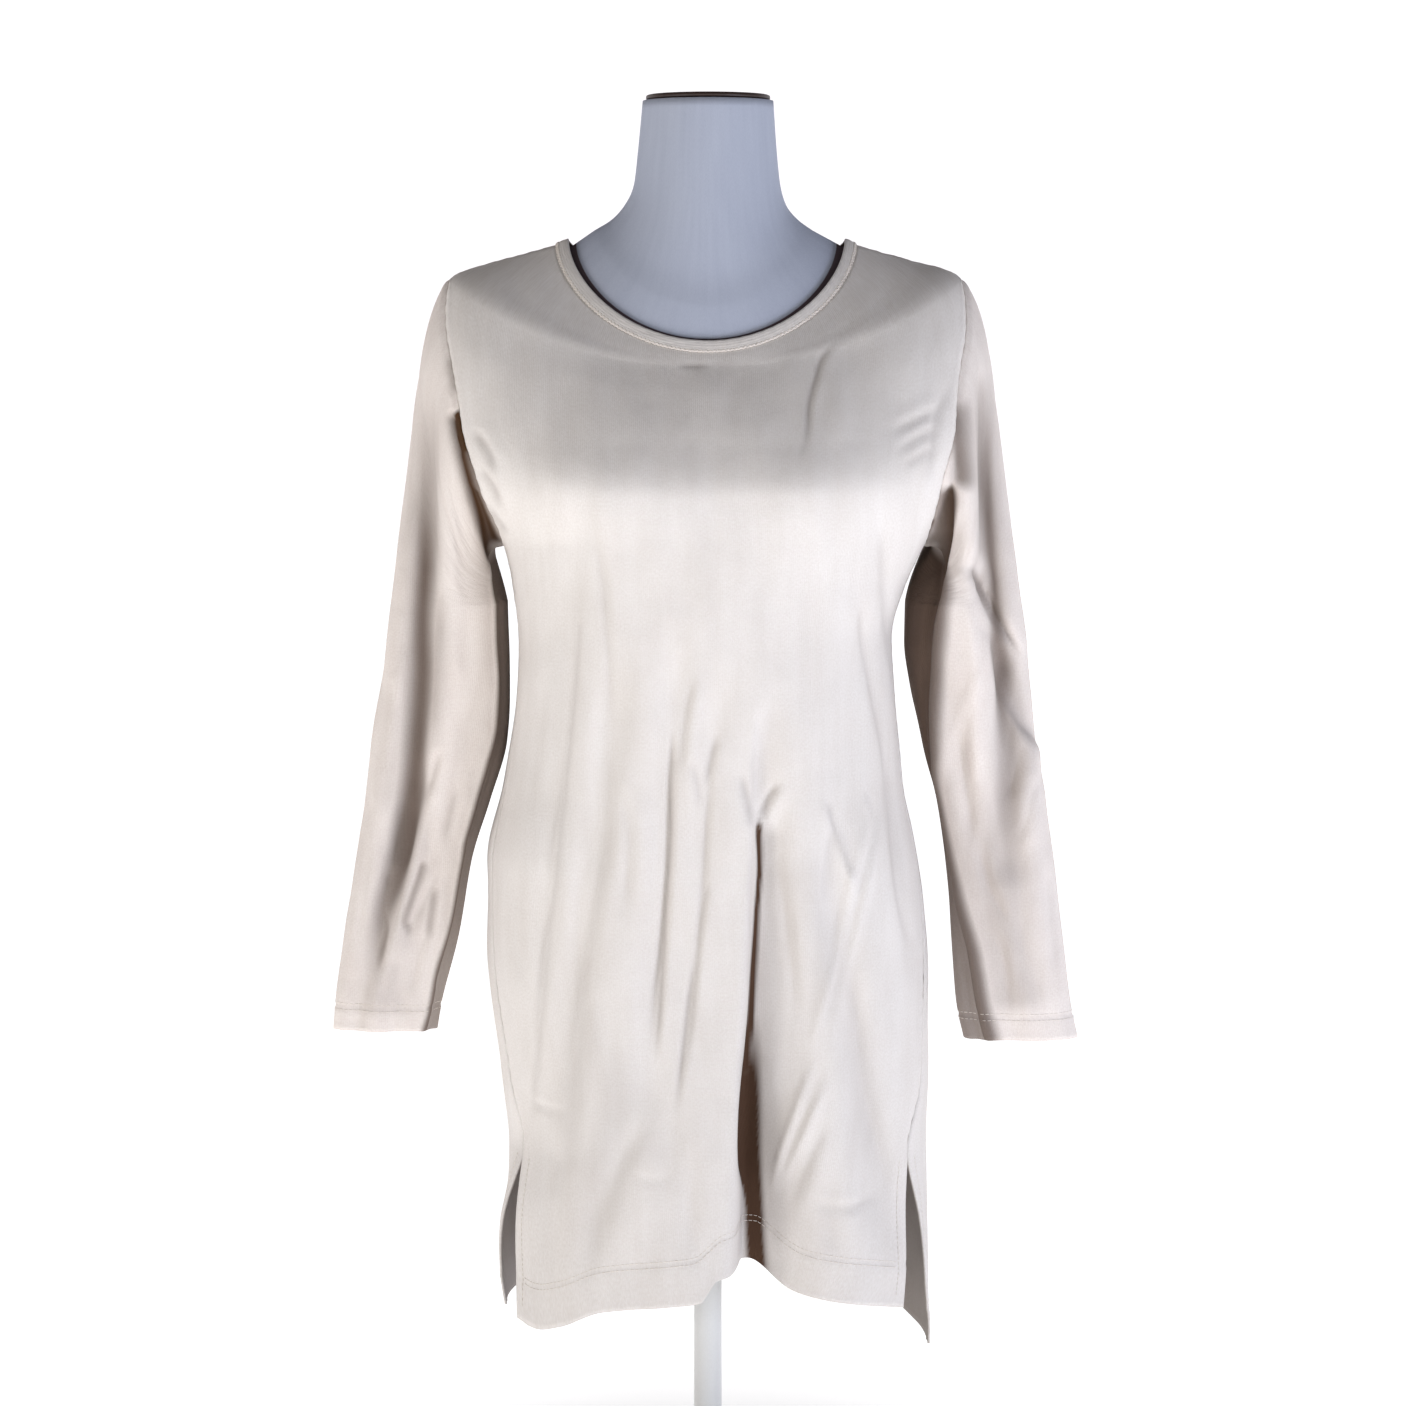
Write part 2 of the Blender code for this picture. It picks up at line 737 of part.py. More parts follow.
def add_cylinder(name, radius, low, high, collection, material, edge=0.0):
    """Make an upright round piece between two heights, with a rounded rim if asked."""
    bm = bmesh.new()
    bmesh.ops.create_cone(
        bm,
        cap_ends=True,
        segments=ROUND_SIDES,
        radius1=radius * MM,
        radius2=radius * MM,
        depth=(high - low) * MM,
    )
    mesh = bpy.data.meshes.new(name)
    bm.to_mesh(mesh)
    bm.free()
    mesh.shade_smooth()
    mesh.set_sharp_from_angle(angle=math.radians(40.0))
    made = add_object(name, mesh, collection, material)
    made.location = (0.0, 0.0, (low + high) / 2.0 * MM)
    if edge:
        rim = made.modifiers.new("rim", "BEVEL")
        rim.width = edge * MM
        rim.segments = 2
    return made


def build_tunic(collection):
    """Make the two panels, the sleeves and the neck binding."""
    sheets = (
        ("front_panel", panel_grid("front", FRONT_COLUMNS), CLOTH, False),
        ("back_panel", panel_grid("back", BACK_COLUMNS), CLOTH, False),
        ("sleeve_left", sleeve_grid(-1, LEFT_SLEEVE, LEFT_SLEEVE_FOLDS), CLOTH, True),
        ("sleeve_right", sleeve_grid(1, RIGHT_SLEEVE, RIGHT_SLEEVE_FOLDS), CLOTH, True),
        ("neck_binding", binding_grid(), BINDING, True),
    )
    for name, grid, thickness, closed in sheets:
        cloth_wall(name, grid, thickness, collection, "cotton_jersey", closed)


def build_form(collection):
    """Make the padded form, the wooden cap on its neck and its stand."""
    loft("form_torso", form_rows(), collection, "form_jersey")
    neck_top = NECK_RINGS[-1].side_z + LIFT
    cap = add_cylinder(
        "form_neck_cap",
        NECK_CAP_RADIUS,
        neck_top + SEAM_GAP,
        neck_top + NECK_CAP_HEIGHT,
        collection,
        "stained_wood",
        edge=1.2,
    )
    cap.location.y = (NECK_RINGS[-1].front_y + NECK_RINGS[-1].back_y) / 2.0 * MM
    flange_top = FORM_BOTTOM_Z + LIFT - SEAM_GAP
    flange_low = flange_top - FLANGE_HEIGHT
    add_cylinder("stand_flange", FLANGE_RADIUS, flange_low, flange_top, collection, "painted_steel")
    add_cylinder(
        "stand_pole",
        POLE_RADIUS,
        BASE_HEIGHT + SEAM_GAP,
        flange_low - SEAM_GAP,
        collection,
        "painted_steel",
    )
    add_cylinder("stand_base", BASE_RADIUS, 0.0, BASE_HEIGHT, collection, "painted_steel", BASE_EDGE)


def main():
    """Clear the scene and build the tunic on its form."""
    for old in list(bpy.data.objects):
        bpy.data.objects.remove(old, do_unlink=True)
    collection = bpy.data.collections.new("tunic_top_on_dress_form")
    bpy.context.scene.collection.children.link(collection)
    build_tunic(collection)
    build_form(collection)


main()
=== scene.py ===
"""The finish of a long-sleeved cotton jersey tunic top, worn by a limbless dress form.

The tables are in millimetres and give the garment's own heights, which the stand holds up
by LIFT. Blender's units are metres, +Z up, and the front faces -Y. Left and right are those
of someone who looks at the front.
"""

import logging
import math
from dataclasses import dataclass
from enum import Enum
from typing import Callable, NamedTuple, Sequence

import bmesh
import bpy
import numpy as np
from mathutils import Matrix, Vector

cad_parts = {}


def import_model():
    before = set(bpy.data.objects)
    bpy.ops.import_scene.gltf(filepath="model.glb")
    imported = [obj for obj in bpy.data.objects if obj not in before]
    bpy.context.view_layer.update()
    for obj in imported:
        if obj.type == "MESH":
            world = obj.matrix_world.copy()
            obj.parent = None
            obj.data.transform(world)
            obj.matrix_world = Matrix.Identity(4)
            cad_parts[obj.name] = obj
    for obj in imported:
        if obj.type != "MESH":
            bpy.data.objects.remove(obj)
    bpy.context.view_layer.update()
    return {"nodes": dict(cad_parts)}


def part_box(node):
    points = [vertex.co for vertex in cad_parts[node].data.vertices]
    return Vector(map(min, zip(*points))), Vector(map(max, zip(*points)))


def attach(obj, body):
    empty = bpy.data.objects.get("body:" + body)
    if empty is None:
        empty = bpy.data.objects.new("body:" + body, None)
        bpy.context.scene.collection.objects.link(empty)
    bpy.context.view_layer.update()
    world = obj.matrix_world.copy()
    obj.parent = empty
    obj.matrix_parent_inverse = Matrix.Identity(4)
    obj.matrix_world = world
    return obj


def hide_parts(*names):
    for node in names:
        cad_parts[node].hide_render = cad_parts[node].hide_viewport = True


log = logging.getLogger("tunic")

MM = 0.001
LIFT = 85.0
BODY = "root"

# Cloth
JERSEY = 1.2
SEAM_LAP = 0.3
BINDING_THICKNESS = 2.4
HEM_DEPTH = 33.0
CUFF_DEPTH = 19.0
VENT_FACING = 9.0

# Levels at which the garment changes
VENT_TOP, ARMPIT, SHOULDER_TIP, PANEL_TOP, NECK_EDGE = 2, 10, 14, 16, 17
FRONT_NOTCH = math.radians(28.0)
BACK_NOTCH = math.radians(23.0)
NOTCH_ROUNDNESS = 0.55

# Bust, as two soft swellings of the chest
BUST_X, BUST_Z, BUST_SPREAD, BUST_RISE = 84.0, 702.0, 48.0, 7.0

# How the folds of the panels fade and fall
FOLD_FADE, FOLD_GROWTH, FOLD_ROUNDNESS, SIDE_FADE = 70.0, 1.3, 2.3, 0.3
SLEEVE_SQUARENESS, UNDERARM_ROOM = 2.15, 7.0


class Face(Enum):
    """The half of the garment that a piece of cloth lies on."""

    FRONT = "front"
    BACK = "back"


class Side(Enum):
    """A side of the garment, as the sign of its X."""

    LEFT = -1
    RIGHT = 1


class Level(NamedTuple):
    """A ring of cloth round the body, at its sides, its front and its back."""

    side_z: float
    front_z: float
    back_z: float
    left_x: float
    right_x: float
    side_y: float
    front_y: float
    back_y: float
    squareness: float
    drop_power: float
    left_seam: float
    right_seam: float


LEVELS = (
    # hem, middle of the vents, top of the vents
    Level(60, 60, 60, -160, 174, 2, -120, 116, 2.2, 1.5, 68, 63),
    Level(125, 125, 125, -158, 173, 2, -119, 115, 2.2, 1.5, 68, 63),
    Level(191, 191, 191, -156, 171, 3, -118, 114, 2.2, 1.5, 68, 63),
    # thigh, hip, high hip
    Level(252, 252, 252, -163, 173, 4, -117, 115, 2.2, 1.5, 70, 72),
    Level(345, 345, 345, -172, 171, 4, -117, 116, 2.25, 1.5, 73, 77),
    Level(411, 411, 411, -172, 164, 4, -119, 110, 2.3, 1.5, 75, 80),
    # belly, waist, under the bust
    Level(474, 474, 474, -159, 151, 4, -122, 99, 2.3, 1.5, 77, 82),
    Level(537, 537, 537, -149, 145, 4, -126, 90, 2.35, 1.5, 79, 83),
    Level(587, 587, 587, -146, 142, 4, -129, 88, 2.4, 1.5, 81, 84),
    Level(625, 627, 625, -150, 151, 4, -132, 91, 2.4, 1.5, 84, 86),
    # armpit, bust, and two rings across the chest
    Level(658, 664, 661, -157, 166, 4, -135, 96, 2.4, 1.5, 90, 90),
    Level(706, 702, 716, -185, 189, 4, -137, 101, 2.4, 1.5, 90, 90),
    Level(761, 742, 770, -208, 208, 5, -122, 103, 2.3, 1.6, 90, 90),
    Level(818, 774, 812, -212, 209, 7, -102, 94, 2.25, 1.8, 90, 90),
    # shoulder tip, middle of the shoulder, top of the panels, edge of the neckline
    Level(863, 797, 843, -198, 194, 8, -84, 78, 2.2, 1.8, 90, 90),
    Level(878, 802, 853, -155, 152, 6, -81, 66, 2.1, 1.4, 90, 90),
    Level(889, 807, 862, -117, 114, 4, -78, 55, 2.0, 1.2, 90, 90),
    Level(893, 816, 868, -107, 105, 3, -74, 50, 2.0, 1.2, 90, 90),
)


class Slack(NamedTuple):
    """Room between the cloth and the dress form at one level."""

    level: float
    side: float
    front: float
    back: float


FORM_INSET = 1.6
SLACKS = (
    Slack(3, 16, 42, 30),
    Slack(4, 5, 36, 20),
    Slack(5, 1.0, 27, 9),
    Slack(6, 1.0, 24, 14),
    Slack(7, 1.5, 26, 18),
    Slack(8, 1.5, 28, 20),
    Slack(9, 1.5, 22, 15),
    Slack(10, 0.5, 11, 7),
    Slack(11, 0.0, 0.5, 3),
    Slack(12, 1.0, 0.0, 0.5),
    Slack(13, 3.0, 0.0, 0.0),
    Slack(14, 3.0, 0.0, 0.0),
    Slack(15, 0.0, 0.0, 0.0),
    Slack(16, 1.5, 1.5, 1.5),
    Slack(17, 4.0, 2.5, 3.0),
)


class NeckRing(NamedTuple):
    """A ring of the form's neck, above the tunic's neckline."""

    side_z: float
    front_z: float
    back_z: float
    left_x: float
    right_x: float
    front_y: float
    back_y: float


NECK_RINGS = (
    NeckRing(900, 840, 881, -87, 80, -67, 48),
    NeckRing(908, 864, 892, -74, 69, -61, 46),
    NeckRing(919, 890, 906, -64, 60, -58, 46),
    NeckRing(934, 920, 926, -57, 55.5, -55.5, 47),
    NeckRing(962, 960, 961, -53.5, 52.5, -53, 48),
    NeckRing(998, 998, 998, -50, 50, -51, 47),
)


class HemPoint(NamedTuple):
    """Height of the hem at one turn round the body, in degrees from the front."""

    turn: float
    z: float


FRONT_HEM = (
    HemPoint(-65, 60),
    HemPoint(-54, 57),
    HemPoint(-43, 63),
    HemPoint(-28, 79),
    HemPoint(-7, 88),
    HemPoint(-1.5, 91),
    HemPoint(1.8, 108),
    HemPoint(11, 112),
    HemPoint(23, 91),
    HemPoint(39, 82),
    HemPoint(58, 72),
)
BACK_HEM = (
    HemPoint(86, 27),
    HemPoint(106, 32),
    HemPoint(126, 47),
    HemPoint(150, 64),
    HemPoint(180, 70),
    HemPoint(225, 66),
    HemPoint(274, 60),
)


class VentEdge(NamedTuple):
    """Turn of one vent edge at the hem, and how far its middle swings outward."""

    hem_turn: float
    flare: float


# the front's hem line ends at this turn, in degrees, and blends into the back's
FRONT_HEM_END = 68.0
HEM_BLEND = 7.0
# creases fade out this near to a sewn edge, so that the seams stay closed
SEAM_CALM = 10.0
VENTS = {
    (Face.FRONT, Side.LEFT): VentEdge(66, 2),
    (Face.FRONT, Side.RIGHT): VentEdge(58, 0),
    (Face.BACK, Side.LEFT): VentEdge(84, 9),
    (Face.BACK, Side.RIGHT): VentEdge(86, 2),
}


class Fold(NamedTuple):
    """A fold in a panel, from its top to its foot.

    A negative depth stands outward. A positive lean makes the left side the steeper one.
    """

    top_x: float
    top_z: float
    foot_x: float
    foot_z: float
    top_width: float
    foot_width: float
    top_depth: float
    foot_depth: float
    lean: float = 0.0
    foot_lean: float = 0.0


FRONT_FOLDS = (
    # the deep valley right of the middle, steep under the lobe at its left, and its lobes
    Fold(38, 485, 33, 60, 12, 32, 6, 60, 0.72, 0.58),
    Fold(-8, 300, -12, 60, 24, 34, 1, -6),
    Fold(88, 300, 86, 60, 26, 36, 1, -7),
    # the falls from the left of the bust
    Fold(-73, 530, -116, 220, 13, 15, 6, 7),
    Fold(-26, 545, -44, 265, 12, 13, 6, 6),
    Fold(3, 520, -26, 230, 11, 12, 4, 3),
    Fold(-97, 660, -139, 205, 14, 13, 3, 5),
    # the falls on the right
    Fold(50, 440, 68, 290, 12, 14, 5, 4),
    Fold(101, 380, 132, 170, 14, 16, 5, 8),
    Fold(112, 560, 96, 390, 16, 14, 3, 4),
)
BACK_FOLDS = (
    Fold(-62, 520, -78, 70, 16, 26, 4, 22),
    Fold(8, 560, 14, 70, 17, 26, 4, 20),
    Fold(70, 500, 92, 60, 16, 26, 4, 24),
    Fold(-28, 360, -32, 70, 22, 30, 1, -7),
    Fold(48, 360, 52, 66, 22, 30, 1, -7),
    Fold(-112, 600, -128, 240, 14, 16, 4, 6),
    Fold(116, 590, 134, 240, 14, 16, 4, 6),
)


class Crease(NamedTuple):
    """A finer fold along a falling route of (x, z) points.

    A negative depth stands outward. The lip is the height of the ridge beside it, as a share
    of its depth, on its right where positive. A positive lean makes the left side the steeper
    one. The sixth number is painted shade: how far the cloth in and beside the crease is darkened towards its painted
    shade colour.
    """

    width: float
    depth: float
    lip: float
    route: tuple[tuple[float, float], ...]
    lean: float = 0.0
    painted_shade: float = 0.0
    foot: float = 0.35
    head: float = 0.3


VALLEY_EDGE = (
    (38, 460),
    (39.5, 424),
    (37.8, 393),
    (36, 361),
    (34, 330),
    (31.5, 282),
    (27, 235),
    (26.5, 203),
    (28, 176),
    (34, 120),
)
# each crease's sixth number is painted shade, darkening the cloth in its hollow
FRONT_CREASES = (
    # under the lobe's edge, where the deep valley starts: its fold, painted shade over its floor, and a painted dark
    # line and core of shadow
    Crease(7.0, 4.0, 0.0, VALLEY_EDGE, 0.6, 0.16, 0.2, 0.05),
    Crease(20.0, 0.0, 0.0, ((44, 440), (46, 393), (44, 330), (42, 282), (42, 235), (42, 176), (42, 110)), 0.3, 0.15, 0.1, 0.1),
    Crease(2.3, 1.0, 0.0, VALLEY_EDGE, 0.1, 1.7, 0.1, 0.03),
    Crease(6.6, 0.0, 0.0, ((35, 345), (34, 282), (33, 235), (32.6, 203), (34, 176), (37, 120), (38.5, 84)), 0.0, 2.0, 0.02, 0.45),
    # the chest, above the bust
    Crease(2.6, 1.3, 0.3, ((102, 820), (87, 806), (80, 788), (75, 770), (73, 748), (65, 720)), 0.0, 0.35),
    Crease(3.2, 0.3, 0.0, ((5, 785), (6, 662), (5, 550))),
    Crease(2.4, 0.45, 0.0, ((-24, 798), (-10, 797), (3, 798)), 0.0, 0.25),
    # pulls beside the right armhole
    Crease(3.5, 1.3, -0.4, ((176, 766), (156, 757), (134, 747)), 0.0, 0.12),
    Crease(3.5, 1.2, -0.4, ((175, 752), (156, 743), (138, 732)), 0.0, 0.12),
    Crease(3.5, 0.9, -0.3, ((173, 737), (158, 730), (144, 722)), 0.0, 0.12),
    Crease(4.0, 1.2, 0.4, ((184, 788), (172, 761), (168, 732), (166, 706)), 0.0, 0.15),
    # crumples at the left armpit
    Crease(4.0, 1.8, 0.4, ((-179, 750), (-167, 737), (-158, 716)), 0.0, 0.25),
    Crease(3.5, 1.9, 0.4, ((-174, 722), (-163, 708), (-156, 688)), 0.0, 0.25),
    Crease(3.5, 1.3, 0.4, ((-170, 694), (-160, 680), (-150, 668)), 0.0, 0.2),
    # falls from the left of the bust
    Crease(4.0, 1.6, 0.3, ((-88, 690), (-80, 650), (-76, 600), (-74, 556), (-74, 517)), 0.2, 0.08),
    Crease(4.5, 2.2, 0.3, ((-73, 528), (-76, 450), (-87, 385), (-99, 319), (-104, 273), (-113, 229)), 0.3, 0.1),
    Crease(3.0, 1.3, 0.4, ((-97, 668), (-99, 592), (-104, 527), (-113, 468), (-119, 428), (-123, 340)), 0.3, 0.08),
    Crease(3.0, 1.5, 0.4, ((-119, 436), (-123, 352), (-129, 291), (-134, 245), (-138, 205)), 0.3, 0.1),
    Crease(3.0, 2.6, 0.4, ((-25, 548), (-28, 485), (-30, 428), (-36, 362), (-41, 319), (-44, 262)), 0.25, 0.28),
    Crease(2.8, 1.5, 0.4, ((3, 520), (-2, 450), (-6, 388), (-12, 345)), 0.2, 0.15),
    Crease(2.6, 2.0, 0.4, ((-8, 372), (-15, 319), (-20, 275), (-25, 228)), 0.2, 0.3),
    # fine forks over the belly
    Crease(3.2, 1.6, 0.4, ((-10, 575), (-17, 535), (-22, 489)), 0.0, 0.1),
    Crease(3.0, 1.7, 0.4, ((7, 527), (2, 505), (-3, 481)), 0.0, 0.22),
    Crease(3.0, 1.3, -0.3, ((-14, 507), (-8, 489), (-5, 467)), 0.0, 0.1),
    Crease(8.0, 2.6, 0.3, ((54, 567), (43, 525), (37, 486), (35, 450)), 0.2, 0.08),
    Crease(3.4, 2.6, 0.4, ((55, 489), (45, 474), (36, 451)), 0.0, 0.28),
    Crease(3.6, 1.8, 0.3, ((24, 497), (29, 477), (34, 452)), 0.0, 0.2),
    # ridges that cross on the right
    Crease(3.6, -2.2, 0.3, ((122, 470), (109, 414), (98, 359), (86, 314), (76, 268))),
    Crease(3.2, -1.8, 0.3, ((82, 475), (97, 442), (106, 415), (111, 390))),
    Crease(3.8, -1.9, 0.3, ((132, 461), (119, 398), (104, 340), (94, 285))),
    Crease(4.5, 1.8, 0.3, ((96, 467), (90, 425), (84, 375)), 0.2, 0.1),
    Crease(4.5, 1.8, 0.3, ((50, 440), (61, 362), (66, 300)), 0.2, 0.06),
    # the right side falls
    Crease(5.0, 1.9, 0.3, ((107, 663), (119, 581), (133, 515), (138, 466), (149, 381), (158, 305)), 0.0, 0.08),
    Crease(3.6, 1.2, 0.3, ((127, 689), (133, 625), (138, 560)), 0.0, 0.12),
    Crease(6.0, 2.6, 0.2, ((101, 356), (111, 314), (118, 247), (134, 188), (140, 152)), 0.0, 0.1),
    # diagonal ridges beside the valley's foot
    Crease(3.6, -3.0, 0.2, ((84, 282), (68, 234), (57, 199), (47, 160))),
    Crease(3.6, -2.2, 0.3, ((92, 262), (72, 212), (52, 165))),
    Crease(4.5, 1.8, 0.3, ((94, 232), (76, 192), (60, 150)), 0.0, 0.08),
    Crease(8.0, 2.0, 0.0, ((96, 190), (92, 150), (99, 112)), 0.0, 0.06),
    # soft falls low on the left
    Crease(9.0, 3.2, 0.3, ((-44, 240), (-66, 196), (-82, 156), (-95, 96)), 0.0, 0.1),
    Crease(9.0, 2.8, 0.3, ((-110, 214), (-122, 166), (-126, 100))),
    Crease(8.0, 2.2, 0.3, ((-8, 222), (-14, 166), (-10, 110))),
    Crease(5.0, 1.3, 0.2, ((-122, 575), (-128, 515), (-138, 455))),
    Crease(5.0, 1.4, 0.2, ((-146, 435), (-146, 367), (-141, 315))),
    Crease(5.0, 1.8, 0.3, ((-64, 485), (-60, 435), (-66, 375)), 0.2, 0.05),
    Crease(6.0, 1.6, 0.3, ((-96, 440), (-98, 399), (-97, 353), (-98, 300))),
    # long fine lines down both sides
    Crease(2.6, 0.8, 0.3, ((-96, 610), (-99, 578), (-114, 421), (-127, 348), (-133, 249)), 0.3, 0.12, 0.2, 0.1),
    Crease(2.6, 0.8, 0.3, ((112, 620), (118, 578), (137, 481), (143, 397), (162, 330)), 0.3, 0.14, 0.2, 0.1),
    Crease(2.4, 1.4, 0.4, ((-27, 534), (-29, 474), (-30, 436), (-33, 383), (-36, 315), (-41, 270)), 0.2, 0.3, 0.2, 0.1),
    Crease(2.4, 1.0, 0.3, ((0, 414), (-6, 376), (-10, 330), (-17, 261)), 0.2, 0.2, 0.2, 0.1),
    Crease(2.4, -1.2, 0.3, ((118, 474), (121, 451), (113, 413), (103, 360), (98, 322)), 0.0, 0.0, 0.2, 0.1),
    Crease(2.6, 1.0, -0.5, ((90, 474), (96, 445), (104, 425), (109, 413)), 0.0, 0.16, 0.2, 0.1),
    # broad bands of painted shade only, with no relief
    Crease(16.0, 0.0, 0.0, ((-62, 300), (-70, 240), (-84, 170), (-92, 110)), 0.0, 0.12),
    Crease(13.0, 0.0, 0.0, ((-88, 330), (-96, 280), (-104, 220), (-112, 150)), 0.0, 0.1),
    Crease(12.0, 0.0, 0.0, ((66, 440), (76, 380), (84, 320), (78, 260)), 0.0, 0.1),
    Crease(12.0, 0.0, 0.0, ((112, 330), (118, 270), (126, 210), (136, 150)), 0.0, 0.13),
    # creases left by folding, across the skirt
    Crease(3.4, 1.2, 0.2, ((-141, 233), (-122, 228), (-104, 232)), 0.0, 0.1),
    Crease(3.6, 0.8, 0.2, ((-60, 187), (-42, 184), (-25, 187))),
    Crease(3.8, 1.2, 0.2, ((74, 163), (105, 158), (136, 164)), 0.0, 0.08),
)
BACK_CREASES = (
    # pulls between the shoulder blades and beside the armholes
    Crease(5.0, 1.0, 0.3, ((-176, 760), (-150, 748), (-122, 744))),
    Crease(4.5, 0.9, 0.3, ((-170, 735), (-146, 722), (-120, 714))),
    Crease(5.0, 1.0, 0.3, ((176, 764), (152, 750), (126, 746))),
    Crease(4.5, 0.9, 0.3, ((172, 734), (148, 720), (124, 716))),
    Crease(7.0, 1.4, 0.2, ((-96, 700), (-84, 640), (-80, 570))),
    Crease(7.0, 1.4, 0.2, ((98, 706), (86, 642), (84, 574))),
    # the small of the back, where the cloth rests on itself
    Crease(7.0, 2.0, 0.4, ((-104, 590), (-60, 572), (-14, 576))),
    Crease(7.0, 2.0, 0.4, ((110, 598), (66, 576), (22, 578))),
    Crease(6.0, 1.5, 0.4, ((-90, 552), (-40, 540), (20, 546), (64, 540))),
    Crease(5.0, 1.1, 0.3, ((-120, 566), (-96, 520), (-92, 470))),
    Crease(5.0, 1.1, 0.3, ((124, 572), (104, 524), (100, 476))),
    # falls over the seat
    Crease(8.0, 2.0, 0.3, ((-34, 500), (-40, 420), (-52, 330))),
    Crease(8.0, 1.8, 0.3, ((36, 480), (44, 400), (50, 310))),
    Crease(6.0, 1.4, 0.3, ((-96, 420), (-106, 350), (-104, 280))),
    Crease(6.0, 1.4, 0.3, ((100, 410), (112, 340), (112, 270))),
    Crease(5.0, -1.8, 0.3, ((-12, 300), (-6, 230), (-22, 170))),
    Crease(5.0, -1.8, 0.3, ((66, 290), (58, 220), (66, 160))),
    Crease(4.0, 0.9, 0.2, ((-120, 214), (-88, 208), (-60, 214))),
    Crease(4.0, 0.9, 0.2, ((110, 204), (84, 198), (60, 205))),
)


class SleeveRing(NamedTuple):
    """A level ring of a hanging sleeve."""

    z: float
    outer_x: float
    inner_x: float
    middle_y: float
    half_depth: float


LEFT_SLEEVE = (
    SleeveRing(614, -245.0, -156.0, 6, 47),
    SleeveRing(552, -253.5, -155.0, 5, 43),
    SleeveRing(505, -261.5, -157.5, 4, 40),
    SleeveRing(458, -267.5, -170.5, 2, 37),
    SleeveRing(411, -275.0, -185.0, 0, 33),
    SleeveRing(355, -283.5, -195.5, -3, 28),
    SleeveRing(300, -291.0, -209.0, -5, 23),
    SleeveRing(280, -293.0, -212.5, -6, 21),
)
RIGHT_SLEEVE = (
    SleeveRing(614, 242.5, 154.0, 6, 47),
    SleeveRing(583, 247.0, 153.5, 6, 45),
    SleeveRing(552, 250.5, 157.5, 5, 43),
    SleeveRing(505, 256.5, 167.5, 4, 40),
    SleeveRing(458, 263.5, 178.5, 2, 37),
    SleeveRing(411, 269.5, 186.5, 0, 33),
    SleeveRing(355, 276.5, 191.0, -3, 28),
    SleeveRing(300, 284.0, 195.5, -5, 23),
    SleeveRing(273, 289.0, 201.0, -6, 21),
)


class SleeveFold(NamedTuple):
    """A fold in a sleeve; its turns are in degrees from the outer side, front first."""

    top_turn: float
    top_z: float
    foot_turn: float
    foot_z: float
    width: float
    depth: float


LEFT_SLEEVE_FOLDS = (
    SleeveFold(74, 800, 66, 440, 20, 9),
    SleeveFold(78, 470, 52, 290, 20, 6),
    SleeveFold(122, 520, 106, 290, 18, 5),
    SleeveFold(262, 760, 250, 400, 22, 7),
    SleeveFold(300, 420, 310, 290, 22, 4),
)
RIGHT_SLEEVE_FOLDS = (
    SleeveFold(66, 820, 70, 640, 20, 9),
    SleeveFold(84, 640, 22, 520, 16, 8),
    SleeveFold(50, 560, 82, 420, 22, 7),
    SleeveFold(118, 540, 104, 290, 18, 5),
    SleeveFold(262, 760, 250, 400, 22, 7),
)
